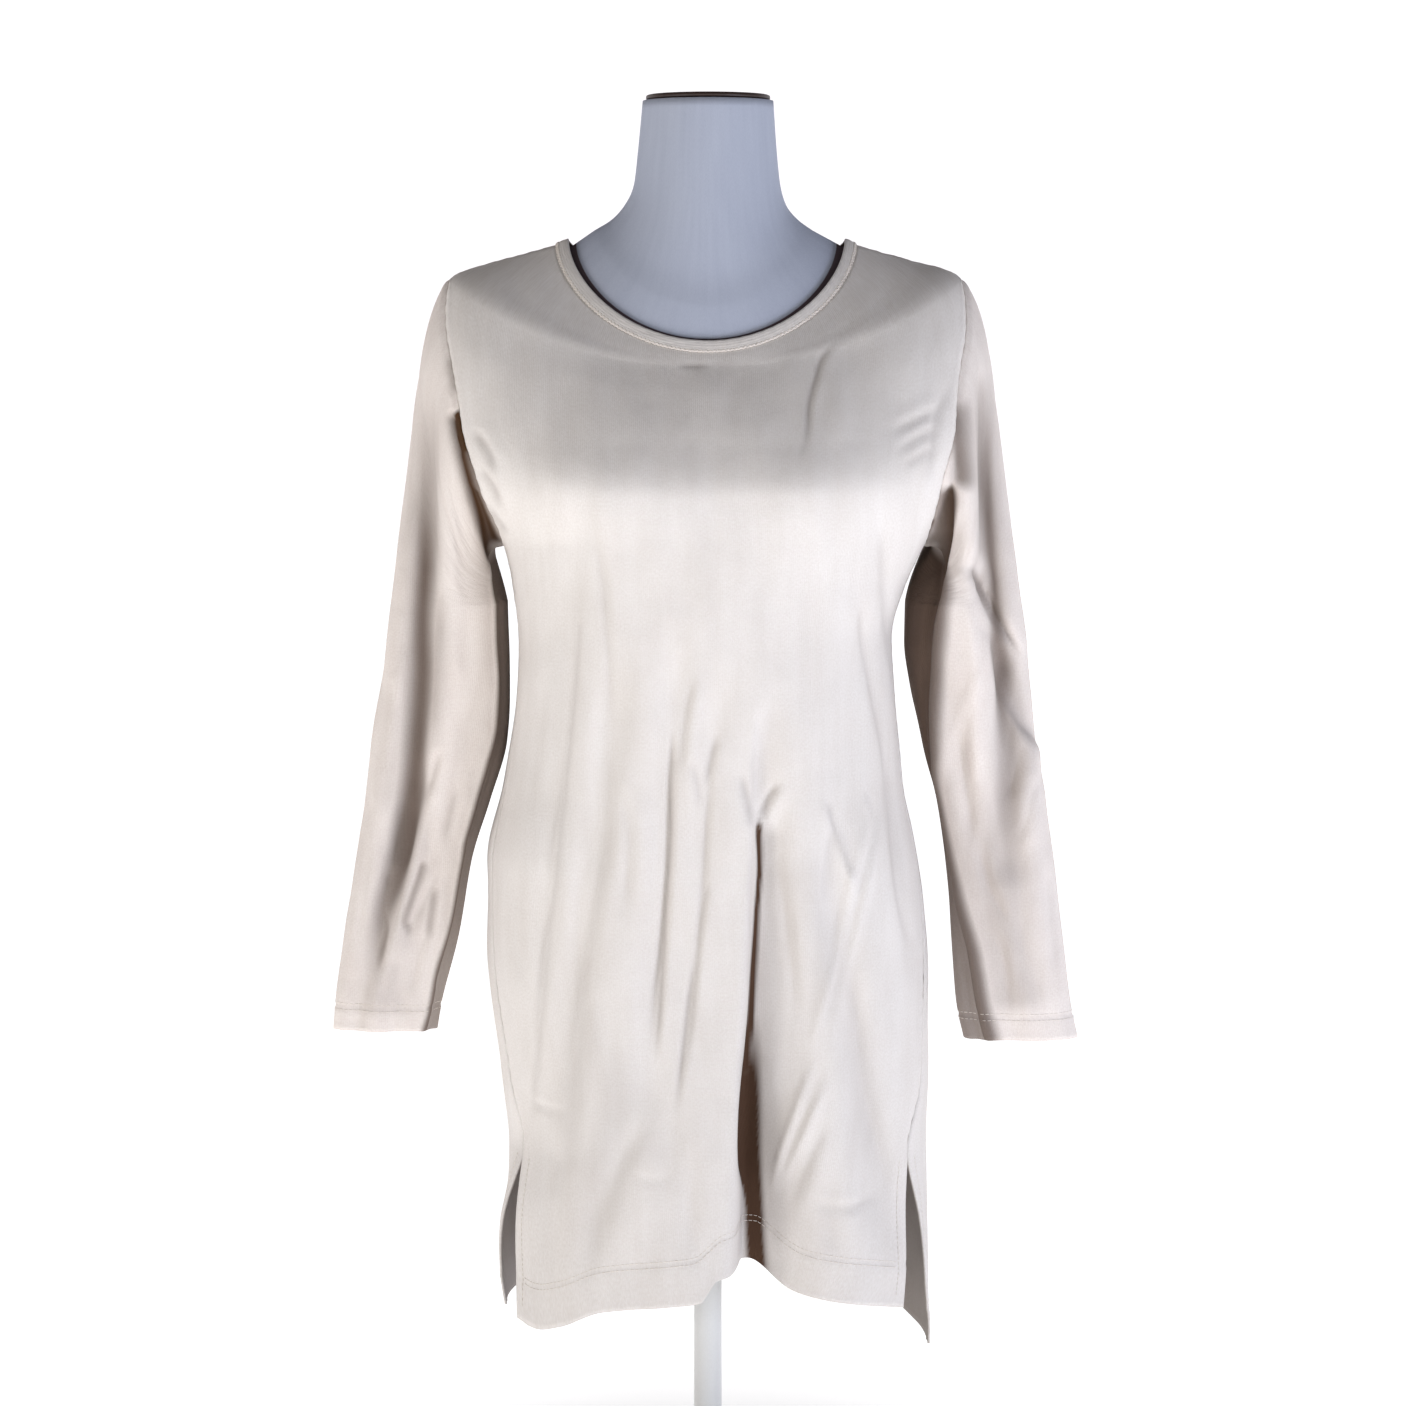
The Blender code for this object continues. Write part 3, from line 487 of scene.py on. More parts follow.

# each crease's sixth number is painted shade, darkening the cloth in its hollow
LEFT_SLEEVE_CREASES = {
    Face.FRONT: (
        # the long step down the outer side of the front, with painted shade in its hollow
        Crease(
            10.0,
            5.5,
            -0.35,
            (
                (-211, 790),
                (-212, 755),
                (-216, 694),
                (-217, 648),
                (-220, 601),
                (-221, 555),
                (-225, 508),
                (-229, 462),
                (-238, 415),
                (-253, 367),
                (-262, 320),
                (-268, 290),
            ),
            -0.15,
            0.84,
            0.3,
            0.3,
        ),
        # the deep hollow beside the armpit, behind the front's edge, painted dark as its shade
        Crease(
            9.0,
            4.5,
            0.0,
            ((-194, 764), (-189, 742), (-185, 722), (-180, 702), (-174, 682), (-167, 656), (-160, 632), (-155, 614)),
            0.5,
            1.0,
            0.1,
            0.05,
        ),
        Crease(7.0, 3.0, 0.0, ((-178, 708), (-171, 686), (-163, 662), (-157, 640)), 0.0, 1.0, 0.1, 0.1),
        Crease(5.5, 3.0, 0.0, ((-188, 764), (-187, 746), (-183, 728)), 0.0, 1.8, 0.2, 0.1),
        Crease(2.6, -1.6, 0.3, ((-196, 772), (-190, 774), (-183, 772)), 0.0, 0.0, 0.3, 0.2),
        Crease(4.0, 1.8, 0.3, ((-196, 808), (-193, 790), (-190, 775)), 0.0, 0.45, 0.2, 0.3),
        # hollows below the step and at the elbow, darkened with painted shade
        Crease(9.0, 1.6, 0.0, ((-206, 640), (-208, 590), (-212, 540), (-216, 480)), 0.0, 0.3),
        Crease(30.0, 0.0, 0.0, ((-225, 470), (-238, 410), (-250, 340), (-256, 285)), 0.0, 0.2, 0.1),
        Crease(8.0, 1.8, 0.2, ((-231, 470), (-235, 446), (-240, 422), (-248, 396)), 0.0, 0.6),
        Crease(5.0, 2.4, 0.3, ((-246, 412), (-249, 395), (-253, 376), (-252, 360), (-257, 336), (-261, 316)), 0.0, 0.62, 0.3, 0.15),
        Crease(4.5, 2.2, 0.3, ((-218, 420), (-222, 405), (-229, 386), (-235, 368), (-232, 361), (-237, 344)), 0.0, 0.5, 0.3, 0.15),
        Crease(4.0, 1.8, 0.3, ((-211, 400), (-213, 383), (-216, 363), (-218, 346)), 0.0, 0.4),
        Crease(9.0, 1.4, 0.0, ((-240, 350), (-246, 320), (-250, 300)), 0.0, 0.25),
        Crease(10.0, 1.2, 0.0, ((-236, 560), (-240, 520), (-246, 470), (-254, 430)), 0.0, 0.2),
        # wrinkles at the elbow
        Crease(3.8, 1.9, 0.4, ((-205, 507), (-213, 481), (-222, 457)), 0.0, 0.15),
        Crease(3.6, 1.7, 0.4, ((-192, 477), (-198, 452), (-205, 427)), 0.0, 0.15),
        Crease(3.6, 1.9, 0.4, ((-235, 409), (-241, 381), (-247, 355)), 0.0, 0.15),
        Crease(4.0, 2.2, -0.4, ((-205, 413), (-220, 381), (-236, 353)), 0.0, 0.2),
        Crease(4.0, 1.6, 0.3, ((-216, 365), (-226, 337), (-232, 305)), 0.0, 0.12),
        Crease(6.0, 2.4, 0.3, ((-214, 470), (-217, 430), (-224, 385), (-238, 345)), 0.0, 0.15),
        # ridges on the outer side
        Crease(5.0, -1.6, 0.3, ((-230, 587), (-238, 549), (-246, 495))),
        Crease(5.0, -1.4, 0.3, ((-222, 705), (-229, 655), (-232, 605))),
        Crease(4.0, 1.1, 0.3, ((-246, 575), (-252, 525), (-258, 475))),
        Crease(4.0, 1.4, 0.3, ((-262, 435), (-268, 385), (-274, 335)), 0.0, 0.1),
        Crease(7.0, 2.0, 0.2, ((-190, 700), (-186, 620), (-184, 540))),
    ),
    Face.BACK: (
        Crease(7.0, 3.0, 0.3, ((-206, 775), (-208, 695), (-214, 605), (-220, 535)), 0.0, 0.15),
        Crease(6.0, 2.2, 0.3, ((-190, 555), (-204, 495), (-224, 455)), 0.0, 0.12),
        Crease(5.0, 1.8, 0.4, ((-250, 485), (-238, 459), (-222, 439)), 0.0, 0.12),
        Crease(5.0, 1.6, 0.4, ((-258, 455), (-246, 423), (-226, 407)), 0.0, 0.12),
        Crease(6.0, 2.0, 0.3, ((-240, 415), (-252, 355), (-258, 305)), 0.0, 0.12),
    ),
}
RIGHT_SLEEVE_CREASES = {
    Face.FRONT: (
        # the long step down the outer side of the front, and the ridge beside it, with painted shade in the step
        Crease(
            8.0,
            5.0,
            0.3,
            ((207, 800), (209, 771), (215, 694), (218, 648), (222, 601), (229, 555), (232, 508), (236, 462), (241, 400)),
            0.15,
            0.76,
            0.4,
            0.28,
        ),
        # the hollow beside the armpit, behind the front's edge, and its gathers, all painted dark as their shade
        Crease(
            11.0,
            8.0,
            0.0,
            ((185, 712), (187, 696), (185, 672), (181, 648), (177, 626), (172, 604), (168, 574)),
            -0.8,
            0.95,
            0.3,
            0.15,
        ),
        Crease(9.0, 2.0, 0.0, ((183, 776), (187, 756), (189, 736), (192, 716), (191, 700)), 0.3, 0.72, 0.2, 0.2),
        Crease(3.5, 2.6, 0.5, ((183, 697), (179, 684), (174, 668)), 0.0, 0.75, 0.2, 0.2),
        Crease(3.5, -1.8, 0.4, ((166, 700), (173, 692), (179, 700))),
        Crease(9.0, 2.0, 0.0, ((170, 684), (165, 672), (160, 655), (157, 636)), 0.0, 1.0, 0.1, 0.1),
        Crease(9.0, 3.0, 0.3, ((238, 470), (241, 415), (243, 367), (251, 320), (254, 292)), 0.0, 0.22),
        Crease(10.0, 1.2, 0.0, ((212, 760), (216, 700), (220, 640), (226, 590)), 0.0, 0.14),
        Crease(13.0, 1.4, 0.0, ((226, 600), (233, 550), (236, 500), (233, 450), (234, 400), (239, 350), (243, 300)), 0.0, 0.5, 0.6),
        Crease(26.0, 0.0, 0.0, ((212, 500), (224, 420), (232, 350), (240, 290)), 0.0, 0.3, 0.1),
        Crease(6.0, -2.6, 0.2, ((194, 790), (197, 694), (199, 648), (200, 602), (205, 556), (207, 463), (210, 416))),
        Crease(5.0, 2.6, -0.3, ((190, 790), (188, 755), (186, 715), (188, 680)), 0.0, 0.3),
        # the sharp diagonal at the elbow and the hollow under it, with painted shade
        Crease(3.4, 3.2, -0.6, ((199, 648), (209, 625), (220, 606), (234, 587), (243, 566)), -0.2, 0.6, 0.3, 0.15),
        Crease(3.2, 2.4, -0.5, ((211, 629), (218, 612), (228, 598), (240, 580)), -0.2, 0.5, 0.3, 0.15),
        Crease(10.0, 3.0, 0.3, ((221, 560), (233, 505), (229, 460), (214, 411)), 0.0, 0.18),
        Crease(4.0, 1.9, 0.4, ((246, 515), (240, 483), (228, 455)), 0.0, 0.15),
        Crease(4.0, 1.6, 0.4, ((254, 485), (248, 451), (238, 425)), 0.0, 0.15),
        Crease(4.5, 2.0, 0.3, ((208, 435), (218, 395), (236, 359)), 0.0, 0.15),
        # soft falls to the cuff
        Crease(5.0, 1.9, 0.3, ((262, 415), (268, 365), (272, 315)), 0.0, 0.1),
        Crease(5.0, 1.9, 0.3, ((222, 365), (232, 325), (236, 292)), 0.0, 0.15),
        Crease(5.0, 2.4, 0.3, ((197, 530), (200, 470), (206, 420)), 0.0, 0.15),
    ),
    Face.BACK: (
        Crease(7.0, 3.0, 0.3, ((204, 775), (206, 695), (212, 605), (218, 535)), 0.0, 0.15),
        Crease(6.0, 2.2, 0.3, ((188, 555), (202, 495), (222, 455)), 0.0, 0.12),
        Crease(5.0, 1.8, 0.4, ((248, 485), (236, 459), (220, 439)), 0.0, 0.12),
        Crease(5.0, 1.6, 0.4, ((256, 455), (244, 423), (224, 407)), 0.0, 0.12),
        Crease(6.0, 2.0, 0.3, ((238, 415), (250, 355), (256, 305)), 0.0, 0.12),
    ),
}


class SeamTurn(NamedTuple):
    """Turn of a sleeve's underarm seam at one height, in degrees from the outer side."""

    z: float
    turn: float


LEFT_UNDERARM = (
    SeamTurn(614, 147),
    SeamTurn(583, 148),
    SeamTurn(552, 151),
    SeamTurn(520, 152),
    SeamTurn(489, 146),
    SeamTurn(458, 146),
    SeamTurn(430, 147),
    SeamTurn(415, 150),
    SeamTurn(375, 152),
    SeamTurn(328, 145),
    SeamTurn(300, 148),
    SeamTurn(280, 143),
)
RIGHT_UNDERARM = (
    SeamTurn(614, 121),
    SeamTurn(587, 124),
    SeamTurn(544, 138),
    SeamTurn(500, 155),
    SeamTurn(464, 170),
    SeamTurn(420, 168),
    SeamTurn(390, 159),
    SeamTurn(338, 138),
    SeamTurn(273, 130),
)


def smoothstep(value: np.ndarray) -> np.ndarray:
    """Ease from 0 to 1 as the value runs from 0 to 1."""
    value = np.clip(value, 0.0, 1.0)
    return value * value * (3.0 - 2.0 * value)


def bump_at(away: np.ndarray, width: float) -> np.ndarray:
    """Return a round bump of height 1 that is about twice the width across."""
    return np.exp(-((away / width) ** 2))


def unit(vectors: np.ndarray) -> np.ndarray:
    """Scale vectors to length 1."""
    return vectors / np.maximum(np.linalg.norm(vectors, axis=-1, keepdims=True), 1e-12)


def monotone(places: Sequence[float], values: Sequence[float], at: np.ndarray) -> np.ndarray:
    """Read a smooth curve, with no overshoot, through places and their values.

    Args:
        places: rising places of the known values.
        values: one value for each place.
        at: where to read the curve.

    Returns:
        The curve's values, in the shape of at.
    """
    places, values = np.asarray(places, float), np.asarray(values, float)
    at = np.clip(at, places[0], places[-1])
    index = np.clip(np.searchsorted(places, at, side="right") - 1, 0, len(places) - 2)
    steps = np.diff(places)
    slopes = np.diff(values) / steps
    before, after = slopes[:-1], slopes[1:]
    same = before * after > 0.0
    tangents = np.concatenate((slopes[:1], np.zeros(len(same)), slopes[-1:]))
    tangents[1:-1][same] = 2.0 * before[same] * after[same] / (before + after)[same]
    part = (at - places[index]) / steps[index]
    rise = values[index + 1] - values[index]
    start, end = tangents[index] * steps[index], tangents[index + 1] * steps[index]
    curve = 3.0 * rise - 2.0 * start - end
    return values[index] + part * (start + part * (curve + part * (start + end - 2.0 * rise)))


def read_table(table: Sequence[NamedTuple], key: str, column: str, at: np.ndarray) -> np.ndarray:
    """Read one column of a table at values of its key column, which may rise or fall."""
    rows = sorted(table, key=lambda row: getattr(row, key))
    return monotone([getattr(row, key) for row in rows], [getattr(row, column) for row in rows], at)


def level_at(height: np.ndarray) -> Level:
    """Return the rings between the levels of the table, each field as an array."""
    height = np.asarray(height, float)
    return Level(*(monotone(range(len(LEVELS)), column, height) for column in zip(*LEVELS)))


def signed_power(value: np.ndarray, power: np.ndarray) -> np.ndarray:
    """Raise a number's size to a power and keep its sign."""
    return np.sign(value) * np.abs(value) ** power


def hem_z(turn: np.ndarray) -> np.ndarray:
    """Return the height of the hem at turns round the body."""
    degrees = (np.degrees(turn) + 180.0) % 360.0 - 180.0
    front = read_table(FRONT_HEM, "turn", "z", degrees)
    back = read_table(BACK_HEM, "turn", "z", degrees % 360.0)
    return front + (back - front) * smoothstep((np.abs(degrees) - FRONT_HEM_END) / HEM_BLEND)


def fold_depth(folds: Sequence[Fold], x: np.ndarray, z: np.ndarray) -> np.ndarray:
    """Add up how far the folds of a panel draw its points inward."""
    depth = np.zeros_like(x)
    for fold in folds:
        along = (fold.top_z - z) / (fold.top_z - fold.foot_z)
        part = np.clip(along, 0.0, 1.0)
        fade = smoothstep(1.0 - (z - fold.top_z) / FOLD_FADE)
        fade *= smoothstep(1.0 - (fold.foot_z - z) / FOLD_FADE)
        middle = fold.top_x + along * (fold.foot_x - fold.top_x)
        width = fold.top_width + part * (fold.foot_width - fold.top_width)
        most = fold.top_depth + part**FOLD_GROWTH * (fold.foot_depth - fold.top_depth)
        lean = fold.lean + part * (fold.foot_lean - fold.lean)
        width = width * (1.0 + np.where(x > middle, lean, -lean))
        depth += fade * most * np.exp(-(np.abs((x - middle) / width) ** FOLD_ROUNDNESS))
    return depth


def body(height: np.ndarray, turn: np.ndarray) -> np.ndarray:
    """Return points of the smooth garment, before its folds."""
    ring = level_at(height)
    across, along = np.sin(turn), np.cos(turn)
    power = 2.0 / ring.squareness
    ahead = along > 0.0
    half_x = np.where(across > 0.0, ring.right_x, -ring.left_x)
    end_y = np.where(ahead, ring.front_y, ring.back_y)
    end_z = np.where(ahead, ring.front_z, ring.back_z)
    x = half_x * signed_power(across, power)
    y = ring.side_y + (end_y - ring.side_y) * np.abs(along) ** power
    z = ring.side_z + (end_z - ring.side_z) * np.abs(along) ** ring.drop_power
    nearness = ((np.abs(x) - BUST_X) / BUST_SPREAD) ** 2 + ((z - BUST_Z) / BUST_SPREAD) ** 2
    y = y - np.where(ahead, BUST_RISE * np.exp(-nearness) * along, 0.0)
    opened = np.clip(1.0 - np.maximum(height, 0.0) / VENT_TOP, 0.0, 1.0)
    z = z + (hem_z(turn) - LEVELS[0].side_z) * opened**2
    return np.stack(np.broadcast_arrays(x, y, z), axis=-1)


def cloth(height: np.ndarray, turn: np.ndarray) -> np.ndarray:
    """Return points of the garment's middle surface, with its main folds."""
    points = body(height, turn)
    x, y, z = points[..., 0], points[..., 1], points[..., 2]
    along = np.cos(turn)
    depth = np.where(along > 0.0, fold_depth(FRONT_FOLDS, x, z), fold_depth(BACK_FOLDS, x, z))
    depth = depth * smoothstep(np.abs(along) / SIDE_FADE)
    level_y = y - level_at(height).side_y
    inward = unit(np.stack((-x / 170.0**2, -level_y / 120.0**2, np.zeros_like(x)), axis=-1))
    return points + inward * depth[..., None]


def outward(surface: Callable, height: np.ndarray, turn: np.ndarray) -> np.ndarray:
    """Return the directions that point out of a surface of the garment."""
    turn_step, level_step = math.radians(1.5), 0.08
    along = surface(height, turn + turn_step) - surface(height, turn - turn_step)
    up = surface(height + level_step, turn) - surface(height - level_step, turn)
    return unit(np.cross(along, up))


def notch(height: np.ndarray, face: Face) -> np.ndarray:
    """Return how far an armhole cuts into a panel, as a turn."""
    part = np.clip((height - ARMPIT) / (SHOULDER_TIP - ARMPIT), 0.0, 1.0)
    most = FRONT_NOTCH if face is Face.FRONT else BACK_NOTCH
    return most * np.maximum(np.sin(math.pi * part), 0.0) ** NOTCH_ROUNDNESS


def edge_turn(height: np.ndarray, face: Face, side: Side) -> np.ndarray:
    """Return the turn, from the front, at which a panel ends on one side."""
    ring = level_at(height)
    seam = ring.left_seam if side is Side.LEFT else ring.right_seam
    opened = np.clip(1.0 - height / VENT_TOP, 0.0, 1.0) ** 1.4
    seam = seam + opened * (VENTS[face, side].hem_turn - seam)
    cut = notch(height, face)
    return np.radians(seam) + (cut if face is Face.BACK else -cut)


def route_line(route: Sequence[tuple[float, float]], steps: int = 7) -> np.ndarray:
    """Return a smooth line of points through the stops of a route."""
    stops = np.array(route, float)
    stops = np.vstack((2.0 * stops[0] - stops[1], stops, 2.0 * stops[-1] - stops[-2]))
    part = np.linspace(0.0, 1.0, steps, endpoint=False)[:, None]
    spans = []
    for a, b, c, d in zip(stops, stops[1:], stops[2:], stops[3:]):
        bend = 2.0 * a - 5.0 * b + 4.0 * c - d
        spans.append(0.5 * (2.0 * b + (c - a) * part + bend * part**2 + (3.0 * (b - c) + d - a) * part**3))
    return np.vstack(spans + [stops[-2:-1]])


def crease_relief(creases: Sequence[Crease], x: np.ndarray, z: np.ndarray) -> tuple[np.ndarray, np.ndarray]:
    """Add up how far fine creases draw points inward, and how much painted shade darkens them.

    Args:
        creases: the creases of one face.
        x: the points' X, in the garment's millimetres.
        z: the points' height.

    Returns:
        The depth at each point, and its share of painted shade.
    """
    depth, painted_shade = np.zeros_like(x), np.zeros_like(x)
    for crease in creases:
        line = route_line(crease.route)
        start, step = line[:-1], np.diff(line, axis=0)
        reach = 4.0 * crease.width
        low, high = line.min(0) - reach, line.max(0) + reach
        near = (x > low[0]) & (x < high[0]) & (z > low[1]) & (z < high[1])
        if not near.any():
            continue
        offset = np.stack((x[near], z[near]), axis=-1)[:, None] - start
        part = np.clip((offset * step).sum(-1) / (step**2).sum(-1), 0.0, 1.0)
        away = np.linalg.norm(offset - part[..., None] * step, axis=-1)
        best = away.argmin(1)
        row = np.arange(len(best))
        along = (best + part[row, best]) / len(step)
        cross = step[best, 0] * offset[row, best, 1] - step[best, 1] * offset[row, best, 0]
        signed = away[row, best] * np.sign(cross)
        ease = smoothstep(along / crease.head) * smoothstep((1.0 - along) / crease.foot)
        width = crease.width * (1.0 + np.where(signed > 0.0, crease.lean, -crease.lean))
        side = 1.0 if crease.lip > 0.0 else -1.0
        shape = bump_at(signed, width)
        shape -= abs(crease.lip) * bump_at(signed - side * 2.1 * crease.width, 1.4 * crease.width)
        depth[near] += crease.depth * ease * shape
        painted_shade[near] = np.maximum(painted_shade[near], crease.painted_shade * ease * bump_at(signed, width))
    return depth, painted_shade


def ripple(across: np.ndarray, along: np.ndarray, phase: float) -> np.ndarray:
    """Return the faint unevenness of worn jersey, in millimetres, at places on the cloth."""
    waves = (
        # wavelength across and along, and height
        (31.0, 260.0, 0.16),
        (47.0, -190.0, 0.22),
        (83.0, 140.0, 0.30),
        (23.0, -95.0, 0.08),
        (-61.0, 71.0, 0.14),
    )
    total = np.zeros_like(across)
    for index, (wide, tall, rise) in enumerate(waves):
        swing = 2.0 * math.pi * (across / wide + along / tall) + phase + 1.9 * index
        total += rise * np.sin(swing + 0.8 * np.sin(along / 57.0 + 2.3 * index + phase))
    return total


def linear(colour: str, alpha: float = 1.0) -> tuple[float, float, float, float]:
    """Turn an sRGB hex colour to linear RGBA."""
    parts = [int(colour[i : i + 2], 16) / 255.0 for i in (1, 3, 5)]
    return (*((p / 12.92 if p <= 0.04045 else ((p + 0.055) / 1.055) ** 2.4) for p in parts), alpha)


def add_node(tree: bpy.types.NodeTree, kind: str, inputs: dict | None = None, **settings) -> bpy.types.Node:
    """Add one node with its settings and links.

    Args:
        tree: the node tree.
        kind: the node's type.
        inputs: value or source socket of each named or numbered input.
        settings: attributes of the node.

    Returns:
        The new node.
    """
    made = tree.nodes.new(kind)
    for name, value in settings.items():
        setattr(made, name, value)
    for key, value in (inputs or {}).items():
        if isinstance(value, bpy.types.NodeSocket):
            tree.links.new(value, made.inputs[key])
        else:
            made.inputs[key].default_value = value
    return made


@dataclass(frozen=True)
class Knit:
    """Single jersey: fine upright ribs of V stitches, soft and matt, with a short fuzz."""

    name: str
    colour: str
    shade: str
    painted_shade: str
    wale: float
    course: float
    stitch_bump: float
    crumple: float
    sheen: float
    roughness: float = 0.92

    def material(self) -> bpy.types.Material:
        """Build the material; its UV map gives places on the cloth in millimetres."""
        made = bpy.data.materials.new(self.name)
        made.use_nodes = True
        tree = made.node_tree
        shader = tree.nodes["Principled BSDF"]
        place = add_node(tree, "ShaderNodeUVMap", uv_map="cloth_mm").outputs[0]
        split = add_node(tree, "ShaderNodeSeparateXYZ", {0: place})
        u, v = split.outputs[0], split.outputs[1]

        def math_node(operation: str, first, second=0.0):
            """Add one step of arithmetic and return its result."""
            return add_node(tree, "ShaderNodeMath", {0: first, 1: second}, operation=operation).outputs[0]

        # one rib is one wale wide; its stitches slope down to both sides of its middle
        rib = math_node("PINGPONG", u, self.wale / 2.0)
        slope = math_node("MULTIPLY", rib, 1.6)
        course = math_node("SINE", math_node("MULTIPLY", math_node("ADD", v, slope), 2.0 * math.pi / self.course))
        stitch = math_node("ADD", math_node("MULTIPLY", rib, 1.4 / self.wale), math_node("MULTIPLY", course, 0.22))

        scaled = add_node(tree, "ShaderNodeVectorMath", {0: place, 1: (0.09, 0.011, 0.0)}, operation="MULTIPLY")
        streak = add_node(tree, "ShaderNodeTexNoise", {"Vector": scaled.outputs[0], "Scale": 1.0, "Detail": 2.0})
        soft = add_node(tree, "ShaderNodeVectorMath", {0: place, 1: (0.022, 0.016, 0.0)}, operation="MULTIPLY")
        mottle = add_node(tree, "ShaderNodeTexNoise", {"Vector": soft.outputs[0], "Scale": 1.0, "Detail": 3.0})
        fine = add_node(tree, "ShaderNodeVectorMath", {0: place, 1: (0.6, 0.6, 0.0)}, operation="MULTIPLY")
        fuzz = add_node(tree, "ShaderNodeTexNoise", {"Vector": fine.outputs[0], "Scale": 1.0, "Detail": 2.0})

        tone = math_node("ADD", math_node("MULTIPLY", streak.outputs[0], 0.2), math_node("MULTIPLY", mottle.outputs[0], 0.25))
        tone = math_node("ADD", tone, math_node("MULTIPLY", fuzz.outputs[0], 0.45))
        tone = math_node("ADD", tone, math_node("MULTIPLY", stitch, 0.08))
        ramp = add_node(tree, "ShaderNodeMapRange", {"Value": tone, "From Min": 0.34, "From Max": 0.64})
        plain = add_node(
            tree,
            "ShaderNodeMixRGB",
            {0: ramp.outputs[0], 1: linear(self.shade), 2: linear(self.colour)},
        )
        # painted shade: each vertex's share darkens the cloth towards the painted shade colour, in creases, hollows,
        # seams, inner faces and the gap at the neckline
        painted_shade_mask = add_node(tree, "ShaderNodeAttribute", attribute_name="painted_fold_shade")
        base = add_node(
            tree,
            "ShaderNodeMixRGB",
            {0: painted_shade_mask.outputs["Fac"], 1: plain.outputs[0], 2: linear(self.painted_shade)},
        )

        wide = add_node(tree, "ShaderNodeVectorMath", {0: place, 1: (0.060, 0.042, 0.0)}, operation="MULTIPLY")
        crumple = add_node(tree, "ShaderNodeTexNoise", {"Vector": wide.outputs[0], "Scale": 1.0, "Detail": 3.0})
        folds = add_node(
            tree,
            "ShaderNodeBump",
            {"Strength": 1.0, "Distance": self.crumple * MM, "Height": crumple.outputs[0]},
        )
        knit = add_node(
            tree,
            "ShaderNodeBump",
            {"Strength": 1.0, "Distance": self.stitch_bump * MM, "Height": stitch, "Normal": folds.outputs[0]},
        )
        tree.links.new(base.outputs[0], shader.inputs["Base Color"])
        tree.links.new(knit.outputs[0], shader.inputs["Normal"])
        shader.inputs["Roughness"].default_value = self.roughness
        shader.inputs["Specular IOR Level"].default_value = 0.25
        shader.inputs["Sheen Weight"].default_value = self.sheen
        shader.inputs["Sheen Roughness"].default_value = 0.55
        shader.inputs["Sheen Tint"].default_value = linear(self.colour)
        return made


# the fourth colour of each knit is its painted shade colour, for folds, hollows and gaps
# the wales are drawn at 1.5 mm, a little coarser than the real 1 mm, so that they show
COTTON_JERSEY = Knit("cotton_jersey_knitted", "#EFEAE6", "#E1DAD4", "#50392A", 1.5, 1.3, 0.14, 0.8, 0.05)
# the sleeves take a copy of the same cloth, painted brighter and a little warmer as light on them, with a darker
# painted shade colour
SLEEVE_JERSEY_PAINTED_BRIGHTER = Knit("cotton_jersey_sleeve_painted_brighter", "#F7EFE9", "#E8DDD6", "#472D15", 1.5, 1.3, 0.14, 1.2, 0.05)
FORM_JERSEY = Knit("form_jersey_knitted", "#BBC1D0", "#AEB4C5", "#5A4B50", 1.1, 1.0, 0.06, 0.2, 0.05)
SEWING_THREAD_COLOUR = "#F1EAE2"


@dataclass(frozen=True)
class SewingThread:
    """Spun polyester thread, matt, a shade lighter than the cloth."""

    name: str = "sewing_thread_spun"
    colour: str = SEWING_THREAD_COLOUR
    shade: str = "#DDD3C9"
    ply: float = 0.5

    def material(self) -> bpy.types.Material:
        """Build the material, with a faint twist in its colour and relief."""
        made = bpy.data.materials.new(self.name)
        made.use_nodes = True
        tree = made.node_tree
        shader = tree.nodes["Principled BSDF"]
        place = add_node(tree, "ShaderNodeTexCoord").outputs["Object"]
        twist = add_node(tree, "ShaderNodeTexNoise", {"Vector": place, "Scale": 1.0 / (self.ply * MM), "Detail": 1.0})
        base = add_node(
            tree,
            "ShaderNodeMixRGB",
            {0: twist.outputs[0], 1: linear(self.shade), 2: linear(self.colour)},
        )
        bump = add_node(tree, "ShaderNodeBump", {"Strength": 0.5, "Distance": 0.05 * MM, "Height": twist.outputs[0]})
        tree.links.new(base.outputs[0], shader.inputs["Base Color"])
        tree.links.new(bump.outputs[0], shader.inputs["Normal"])
        shader.inputs["Roughness"].default_value = 0.8
        return made


@dataclass(frozen=True)
class StainedBeech:
    """Turned beech under a dark walnut stain: straight grain, satin."""

    name: str = "beech_stained_dark"
    colour: str = "#3A231B"
    grain_colour: str = "#20120D"
    grain: float = 2.2

    def material(self) -> bpy.types.Material:
        """Build the material, with its grain along X."""
        made = bpy.data.materials.new(self.name)
        made.use_nodes = True
        tree = made.node_tree
        shader = tree.nodes["Principled BSDF"]
        place = add_node(tree, "ShaderNodeTexCoord").outputs["Object"]
        across = 1.0 / (self.grain * MM)
        stretched = add_node(
            tree,
            "ShaderNodeVectorMath",
            {0: place, 1: (across * 0.06, across, across)},
            operation="MULTIPLY",
        )
        lines = add_node(tree, "ShaderNodeTexNoise", {"Vector": stretched.outputs[0], "Scale": 1.0, "Detail": 4.0})
        base = add_node(
            tree,
            "ShaderNodeMixRGB",
            {0: lines.outputs[0], 1: linear(self.grain_colour), 2: linear(self.colour)},
        )
        bump = add_node(tree, "ShaderNodeBump", {"Strength": 0.4, "Distance": 0.1 * MM, "Height": lines.outputs[0]})
        tree.links.new(base.outputs[0], shader.inputs["Base Color"])
        tree.links.new(bump.outputs[0], shader.inputs["Normal"])
        shader.inputs["Roughness"].default_value = 0.45
        return made


